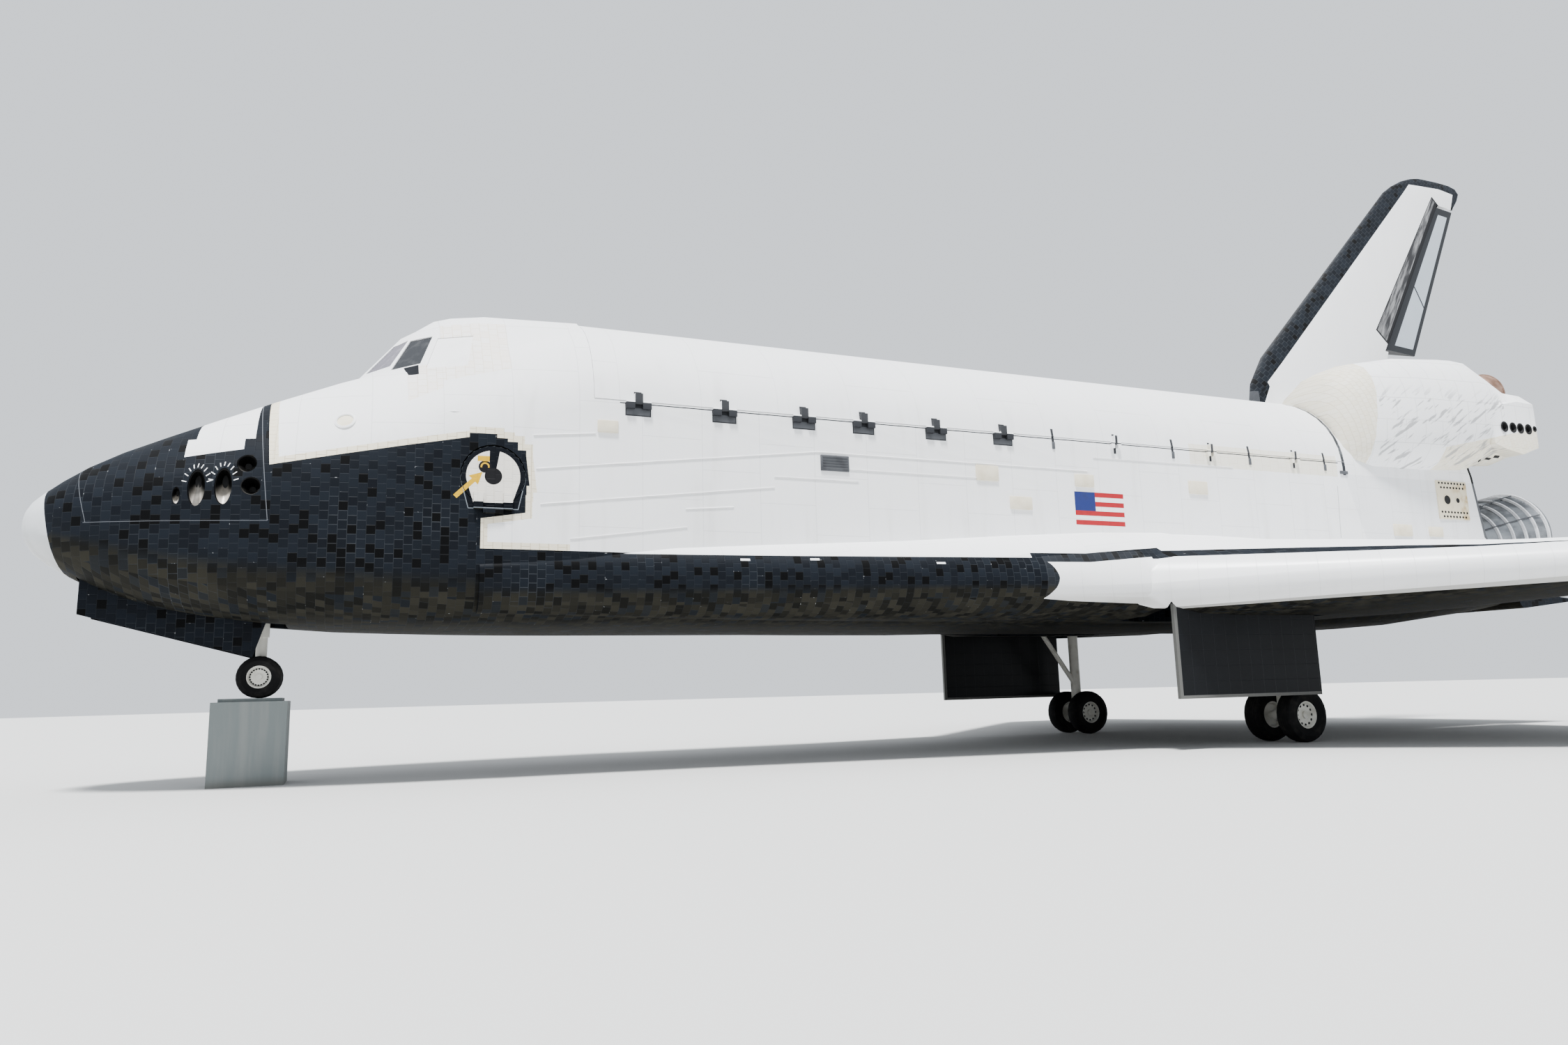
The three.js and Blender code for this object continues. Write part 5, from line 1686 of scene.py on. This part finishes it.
    def stripes(self, side: Side) -> None:
        """Builds a plain striped panel with a blue corner.

        Args:
            side: Which flank.
        """
        first, last, foot, top = self.panel
        pitch = (top - foot) / self.stripe_rows
        beside_corner = self.stripe_rows // 2 + 1
        stripes = bmesh.new()
        corner = bmesh.new()
        for i in range(0, self.stripe_rows, 2):
            x0 = self.corner if i < beside_corner else first
            point, normal = self.surface.beside((x0 + last) / 2, top - (i + 0.5) * pitch, side)
            Maker.block(stripes, (last - x0, pitch, 0.16), Maker.on_surface(point, normal))
        width = self.corner - first
        height = beside_corner * pitch
        point, normal = self.surface.beside(first + width / 2, top - height / 2, side)
        Maker.block(corner, (width, height, 0.16), Maker.on_surface(point, normal))
        Maker.piece(f"red_stripes_{side.name}", stripes, self.finishes.stripe, "root", "tile_white")
        Maker.piece(f"blue_corner_{side.name}", corner, self.finishes.corner, "root", "tile_white")


@dataclass
class Bells:
    """The rocket bells, turned smoother than the solids and with their hoops and pipes.

    Attributes:
        finishes: The craft's finishes.
        main: Name, throat and angles of each main bell, in the solids' order.
        profile: The main bell's outer line, as distance and radius.
        wall: The main bell's wall.
        hoops: How many hoops a main bell has.
        pipe_turns: Where the pipes lie round it, in degrees.
        pipe_places: Distances along it that a pipe's line goes through.
        pod_profile: The outer line of a pod's nozzle, as distance and radius.
        pod_throat: Station, distance from the centreline and height of its throat end.
        pod_pitch: How far it points up, in degrees.
        pod_wall: Its wall.
    """

    finishes: Finishes
    main: tuple[tuple[str, Point, float, float], ...] = (
        ("upper", (1481, 0, 459), 16, 0),
        ("port", (1498, -57, 347), 10, -3.5),
        ("starboard", (1498, 57, 347), 10, 3.5),
    )
    profile: tuple[tuple[float, float], ...] = (
        (0, 18.5),
        (6, 22),
        (12, 25),
        (20, 28.8),
        (28, 32),
        (38, 35.3),
        (50, 38),
        (62, 40.4),
        (76, 42.2),
        (91, 43.6),
        (107, 44.6),
    )
    wall: float = 1.6
    hoops: int = 7
    pipe_turns: Sequence[int] = range(20, 360, 45)
    pipe_places: tuple[float, ...] = (6, 16, 28, 42, 58, 76, 98)
    pod_profile: tuple[tuple[float, float], ...] = (
        (0, 7),
        (5, 10),
        (10, 12.5),
        (17, 15.2),
        (24, 17.4),
        (31, 19.1),
        (38, 20.4),
        (45, 21.3),
        (52, 22),
    )
    pod_throat: Point = (1502, 88, 498.8)
    pod_pitch: float = 15.8
    pod_wall: float = 0.9

    @staticmethod
    def axis(pitch: float, yaw: float) -> Vector:
        """The direction that a bell points in, from its two angles in degrees."""
        up, out = math.radians(pitch), math.radians(yaw)
        return Vector((math.cos(up) * math.cos(out), math.cos(up) * math.sin(out), math.sin(up)))

    def build(self) -> None:
        """Builds the three main bells and the two pod nozzles."""
        for name, place, pitch, yaw in self.main:
            throat, axis = Grid.at(*place), self.axis(pitch, yaw)
            self.main_bell(name, throat, axis)
            self.bell_hoops(name, throat, axis)
            self.bell_pipes(name, throat, axis)
        for side in Side:
            self.pod_nozzle(side)

    @staticmethod
    def shell(
        mesh: bmesh.types.BMesh,
        outer: list[tuple[float, float]],
        inner: list[tuple[float, float]],
        throat: Vector,
        axis: Vector,
        steps: int,
    ) -> None:
        """Turns a bell's wall, closed at the throat by a floor 3 inches thick.

        Args:
            mesh: The mesh that gets the bell.
            outer: Its outer line, as radius and distance from the throat end.
            inner: Its inner line, from the rim back to the throat.
            throat: The throat end in metres.
            axis: The direction that it points in.
            steps: How many faces there are round it.
        """
        floor = 3.0
        inner = [(radius, max(along, floor)) for radius, along in inner]
        Maker.lathe(mesh, [(0.001, 0), *outer, *inner, (0.001, floor)], throat, axis, steps)

    def pod_nozzle(self, side: Side) -> None:
        """Builds the nozzle at the end of a pod, with its rolled rim.

        Args:
            side: Which pod.
        """
        axis = self.axis(self.pod_pitch, 0)
        x, y, z = self.pod_throat
        throat = Grid.at(x, side.value * y, z)
        mesh = bmesh.new()
        outer = [(r, a) for a, r in self.pod_profile]
        inner = [(r - self.pod_wall, a) for a, r in reversed(self.pod_profile)]
        self.shell(mesh, outer, inner, throat, axis, 48)
        rim = [(21.9, 50.4), (22.6, 50.8), (22.6, 51.6), (21.9, 52)]
        Maker.lathe(mesh, rim, throat, axis, 48)
        made = Maker.piece(f"pod_nozzle_{side.name}", mesh, self.finishes.copper, "root", "nozzle_copper")
        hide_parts(f"manoeuvring_nozzle_{side.name}")

    def radius_at(self, along: float) -> float:
        """The main bell's outer radius.

        Args:
            along: The distance from its throat end.

        Returns:
            The radius there, in inches.
        """
        for (a0, r0), (a1, r1) in zip(self.profile, self.profile[1:]):
            if a0 <= along <= a1:
                return r0 + (r1 - r0) * (along - a0) / (a1 - a0)
        return self.profile[-1][1]

    def main_bell(self, name: str, throat: Vector, axis: Vector) -> None:
        """Builds the wall of one main bell.

        Args:
            name: Which bell.
            throat: The throat end in metres.
            axis: The direction that it points in.
        """
        mesh = bmesh.new()
        outer = [(r - 0.25, a) for a, r in self.profile]
        inner = [(r - self.wall, a) for a, r in reversed(self.profile)]
        self.shell(mesh, outer, inner, throat, axis, 64)
        made = Maker.piece(f"main_bell_{name}", mesh, self.finishes.steel, "root", "bell_steel")
        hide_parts(f"main_engine_{name}")

    def bell_hoops(self, name: str, throat: Vector, axis: Vector) -> None:
        """Builds the hoops round one main bell.

        Args:
            name: Which bell.
            throat: The throat end in metres.
            axis: The direction that it points in.
        """
        mesh = bmesh.new()
        length = self.profile[-1][0]
        for i in range(1, self.hoops + 1):
            along = length * (i - 0.35) / self.hoops
            foot, head = self.radius_at(along) - 0.4, self.radius_at(along) + 1.6
            ring = [(foot, along - 1.7), (head, along - 1.0), (head, along + 1.0), (foot, along + 1.7)]
            Maker.lathe(mesh, ring, throat, axis, 64)
        Maker.piece(f"bell_hoops_{name}", mesh, self.finishes.bright, "root", "bell_steel")

    def bell_pipes(self, name: str, throat: Vector, axis: Vector) -> None:
        """Builds the pipes that run down the outside of one main bell.

        Args:
            name: Which bell.
            throat: The throat end in metres.
            axis: The direction that it points in.
        """
        mesh = bmesh.new()
        lean = Vector((0.0, 0.0, 1.0)).rotation_difference(axis)
        for turn in self.pipe_turns:
            out = lean @ Vector((math.cos(math.radians(turn)), math.sin(math.radians(turn)), 0.0))
            path = [
                throat + axis * (along * INCH) + out * ((self.radius_at(along) + 1.4) * INCH)
                for along in self.pipe_places
            ]
            Maker.tube(mesh, path, 0.7, 8)
        Maker.piece(f"bell_pipes_{name}", mesh, self.finishes.fairing, "root", "hinge_grey", 60.0)


@dataclass
class Thrusters:
    """The linings of the small thrusters on the nose and at the ends of the pods.

    Attributes:
        finishes: The craft's finishes.
        sides: Station, height and half sizes of each port on the flanks of the nose.
        back: Where the flank ports end inside, as a distance from the centreline.
        tops: Places across the nose of the ports on top.
        stern: Station, height and radius of the ports in the pods' housings.
        stern_back: Where the housings' ports end inside, as a distance from the centreline.
        dash_count: How many dashes fan out over each of the two tall ports.
    """

    finishes: Finishes
    sides: tuple[tuple[float, float, float, float], ...] = (
        (341, 350, 5, 12),
        (356, 351, 5, 12),
        (330, 345, 2.2, 5.5),
        (368.5, 366, 5.8, 5.8),
        (371.5, 351, 5.8, 5.8),
    )
    back: float = 66.0
    tops: tuple[float, ...] = (0, 15, -15)
    stern: tuple[tuple[float, float, float], ...] = (
        (1497, 461, 4.4),
        (1510, 461, 4.4),
        (1521.5, 461, 4.4),
        (1534, 461, 4.4),
        (1544, 462, 2),
    )
    stern_back: float = 131.15
    dash_count: int = 9

    def build(self) -> None:
        """Builds the linings, their rims and the marks beside them."""
        self.surface = Surface("forward_fuselage")
        for side in Side:
            cones = bmesh.new()
            for port in self.sides:
                self.side_cone(cones, port, side)
            Maker.piece(f"thruster_cones_{side.name}", cones, self.finishes.throat, "root", "bell_steel")
            self.dashes(side)
            self.stern_ports(side)
        tops = bmesh.new()
        for y in self.tops:
            cup = [(0.001, 0), (4.75, 0), (4.75, 6), (4.3, 6), (1.8, 0.5), (0.001, 0.5)]
            Maker.lathe(tops, cup, Grid.at(340, y, 396.1), Vector((0, 0, 1)), 24)
        Maker.piece("top_thruster_cones", tops, self.finishes.throat, "root", "bell_steel")

    def stern_ports(self, side: Side) -> None:
        """Builds the near-black cups in the row of ports at the end of a pod, painted shade for the inside of
        the ports, with their rims in the same black.

        Args:
            side: Which pod.
        """
        pod = Surface(f"manoeuvring_pod_{side.name}")
        mesh = bmesh.new()
        for x, z, radius in self.stern:
            inner = Grid.at(x, side.value * self.stern_back, z)
            outer, _ = pod.beside(x, z + radius + 0.6, side)
            depth = abs(outer.y - inner.y) / INCH
            r = radius - 0.05
            wall = [(0.001, 0), (r, 0), (r, depth)]
            rim = [(r + 1.1, depth), (r + 1.1, depth + 0.25), (r - 0.4, depth + 0.25)]
            # The cup's near-black lining paints the shade inside the port.
            cup = [*wall, *rim, (r * 0.5, 0.6), (0.001, 0.6)]
            Maker.lathe(mesh, cup, inner, Vector((0, side.value, 0)), 24)
        Maker.piece(f"stern_ports_{side.name}", mesh, self.finishes.dark, "root", "hinge_grey")

    def side_cone(self, mesh: bmesh.types.BMesh, port: tuple[float, float, float, float], side: Side) -> None:
        """Adds the cone in one flank port, with its throat high up so that its lower wall shows.

        Args:
            mesh: The mesh that gets the cone.
            port: Station, height and half sizes.
            side: Which flank.
        """
        x, z, half_x, half_z = port
        point, _ = self.surface.beside(x, z - half_z - 1.0, side)
        above, _ = self.surface.beside(x, z + half_z + 1.0, side)
        depth = min(abs(point.y), abs(above.y)) / INCH - self.back - 0.6
        made = bmesh.new()
        profile = [(0.001, 0.05), (0.985, 0.05), (0.985, 1.0), (0.9, 1.0), (0.34, 0.14), (0.001, 0.14)]
        Maker.lathe(made, [(r / INCH, a / INCH) for r, a in profile], Vector(), Vector((0, 0, 1)), 32)
        lift = 0.42 if half_z > half_x else 0.1
        for v in made.verts:
            throat = v.co.xy.length < 0.6 and v.co.z < 0.5
            if throat:
                v.co.y += lift
        size = Matrix.Diagonal((half_x * INCH, half_z * INCH, depth * INCH, 1.0))
        start = Grid.at(x, side.value * (self.back + 0.05), z)
        frame = Maker.on_surface(start, Vector((0.0, side.value, 0.0)))
        bmesh.ops.transform(made, matrix=frame @ size, verts=made.verts)
        data = bpy.data.meshes.new("cone")
        made.to_mesh(data)
        made.free()
        mesh.from_mesh(data)
        bpy.data.meshes.remove(data)

    def dashes(self, side: Side) -> None:
        """Builds the fans of white dashes over the two tall ports.

        Args:
            side: Which flank.
        """
        mesh = bmesh.new()
        for x, z, half_x, half_z in self.sides[:2]:
            for i in range(self.dash_count):
                turn = math.radians(16 + 148 * i / (self.dash_count - 1))
                away = Vector((math.cos(turn) * 0.9, math.sin(turn)))
                start = Vector((x + math.cos(turn) * (half_x + 0.9), z + math.sin(turn) * (half_z + 1.0)))
                middle = start + away * 1.7
                point, normal = self.surface.beside(middle.x, middle.y, side)
                up = Vector((away.x, 0.0, away.y))
                Maker.block(mesh, (0.6, 3.0, 0.14), Maker.on_surface(point, normal, up))
        Maker.piece(f"thruster_dashes_{side.name}", mesh, self.finishes.bead, "root", "tile_white")


@dataclass
class Wheels:
    """The rings of holes in the wheels, as flat dark discs that paint the shade inside the holes.

    Attributes:
        finishes: The craft's finishes.
        rings: Name of the wheels, which node and body share, holes in a ring, the ring's radius as a
            share of the wheel's, and a hole's radius.
    """

    finishes: Finishes
    rings: tuple[tuple[str, int, float, float], ...] = (
        ("nose_wheels", 20, 0.74, 0.75),
        ("main_wheels_port", 12, 0.72, 1.1),
        ("main_wheels_starboard", 12, 0.72, 1.1),
    )

    def build(self) -> None:
        """Builds the holes on both faces of each pair of wheels."""
        for name, count, reach, hole in self.rings:
            low, high = (Vector(corner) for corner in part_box(name))
            middle = (low + high) / 2
            radius = (high.z - low.z) / 2 / INCH
            surface = Surface(name)
            # Each hole is a flat dark disc on the hub: painted shade for the hole.
            plug = [(0.001, -0.1), (hole, -0.1), (hole, 0.05), (0.001, 0.05)]
            mesh = bmesh.new()
            for way in (-1.0, 1.0):
                for i in range(count):
                    turn = math.tau * i / count
                    spot = middle + Vector((math.cos(turn), 0.0, math.sin(turn))) * (radius * reach * INCH)
                    start = Vector((spot.x, middle.y + way * 3.0, spot.z))
                    hit, _, _, _ = surface.tree.ray_cast(start, Vector((0.0, -way, 0.0)))
                    if hit is not None:
                        Maker.lathe(mesh, plug, hit, Vector((0.0, way, 0.0)), 10)
            Maker.piece(f"{name}_holes", mesh, self.finishes.dark, name, "hinge_grey")


@dataclass
class Bay:
    """The ribs and rails that line the payload bay, which show when its doors are open.

    Attributes:
        finishes: The craft's finishes.
        first: Station of the first rib.
        last: Station of the last rib.
        count: How many ribs there are.
        level: Height of the line that the ribs are laid out from.
        reach: How far round from the keel the ribs go, in degrees.
        steps: How many straight pieces a rib has.
        rails: Where the rails run on the walls, as shares of the reach.
        size: Radius of a rib in inches.
    """

    finishes: Finishes
    first: float = 604.0
    last: float = 1288.0
    count: int = 13
    level: float = 400.0
    reach: float = 84.0
    steps: int = 32
    rails: tuple[float, float] = (-0.82, 0.82)
    size: float = 1.5

    def wall(self, x: float, share: float, inset: float) -> Vector | None:
        """A point just inside the bay's wall.

        Args:
            x: The station.
            share: How far round from the keel, as a share of the reach, with its sign.
            inset: How far inside the wall the point lies, in inches.

        Returns:
            The point in metres, or None where there is no wall.
        """
        turn = math.radians(self.reach * share)
        out = Vector((0.0, math.sin(turn), -math.cos(turn)))
        hit, _, _, _ = self.hull.tree.ray_cast(Grid.at(x, 0, self.level), out)
        return None if hit is None else hit - out * (inset * INCH)

    def build(self) -> None:
        """Builds the ribs and the two rails along the walls."""
        self.hull = Surface("mid_fuselage")
        mesh = bmesh.new()
        gap = (self.last - self.first) / (self.count - 1)
        stations = [self.first + gap * i for i in range(self.count)]
        for x in stations:
            around = [self.wall(x, 2 * k / self.steps - 1, self.size * 0.6) for k in range(self.steps + 1)]
            Maker.tube(mesh, [point for point in around if point is not None], self.size, 6)
        for share in self.rails:
            along = [self.wall(x, share, self.size) for x in stations]
            Maker.tube(mesh, [point for point in along if point is not None], self.size, 8)
        Maker.piece("bay_ribs", mesh, self.finishes.rib, "root", "tile_white", 60.0)


class Studio:
    """The floor, the lights and the camera, in metres and degrees."""

    EYE = Vector((-13.599, -20.211, 1.320))
    YAW = 22.897
    PITCH = 9.2475
    ROLL = -1.4852
    LENS = 23.87
    SENSOR = 36.0
    FLOOR_RADIUS = 260.0
    SUN_STRENGTH = 5.4
    SUN_SIZE = 9
    SUN_WAY = Vector((0.16, 0.30, -1.0))
    SKY = (0.86, 0.90, 0.95, 1.0)
    SKY_STRENGTH = 0.95

    def build(self) -> None:
        """Builds the set."""
        self.floor()
        self.lights()
        self.camera()

    def floor(self) -> None:
        """Builds a pale floor."""
        mesh = bmesh.new()
        bmesh.ops.create_circle(mesh, cap_ends=True, radius=self.FLOOR_RADIUS, segments=64)
        data = bpy.data.meshes.new("studio_floor")
        mesh.to_mesh(data)
        mesh.free()
        made = bpy.data.objects.new("studio_floor", data)
        bpy.context.scene.collection.objects.link(made)
        paint = Paint("studio_floor")
        data.materials.append(paint.finish((0.62, 0.62, 0.61), 0.9))

    def lights(self) -> None:
        """Builds soft light from above, and a pale surround that fills the shade."""
        sun = bpy.data.lights.new("key", "SUN")
        sun.energy = self.SUN_STRENGTH
        sun.angle = math.radians(self.SUN_SIZE)
        lamp = bpy.data.objects.new("key", sun)
        bpy.context.scene.collection.objects.link(lamp)
        lamp.rotation_mode = "QUATERNION"
        lamp.rotation_quaternion = self.SUN_WAY.to_track_quat("-Z", "Y")
        world = bpy.data.worlds.new("surround")
        world.use_nodes = True
        sky = world.node_tree.nodes["Background"]
        sky.inputs["Color"].default_value = self.SKY
        sky.inputs["Strength"].default_value = self.SKY_STRENGTH
        bpy.context.scene.world = world
        bpy.context.scene.view_settings.look = "AgX - Medium High Contrast"

    def camera(self) -> None:
        """Builds the camera at the photograph's place."""
        yaw, pitch, roll = (math.radians(v) for v in (self.YAW, self.PITCH, self.ROLL))
        forward = Vector(
            (math.sin(yaw) * math.cos(pitch), math.cos(yaw) * math.cos(pitch), math.sin(pitch))
        )
        level = Vector((math.cos(yaw), -math.sin(yaw), 0.0))
        above = level.cross(forward)
        right = level * math.cos(roll) + above * math.sin(roll)
        up = above * math.cos(roll) - level * math.sin(roll)
        data = bpy.data.cameras.new("camera")
        data.lens = self.LENS
        data.sensor_width = self.SENSOR
        data.clip_end = 1000.0
        made = bpy.data.objects.new("camera", data)
        bpy.context.scene.collection.objects.link(made)
        turn = Matrix((right, up, -forward)).transposed().to_4x4()
        made.matrix_world = Matrix.Translation(self.EYE) @ turn
        bpy.context.scene.camera = made


def main() -> None:
    """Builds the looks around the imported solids."""
    logging.basicConfig(level=logging.INFO, format="%(name)s: %(message)s")
    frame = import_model()
    finishes = Finishes()
    Studio().build()
    Dresser(finishes).dress(frame["nodes"])
    Flank(finishes).build()
    Bells(finishes).build()
    Thrusters(finishes).build()
    Wheels(finishes).build()
    Bay(finishes).build()
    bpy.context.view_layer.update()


if __name__ == "__main__":
    main()
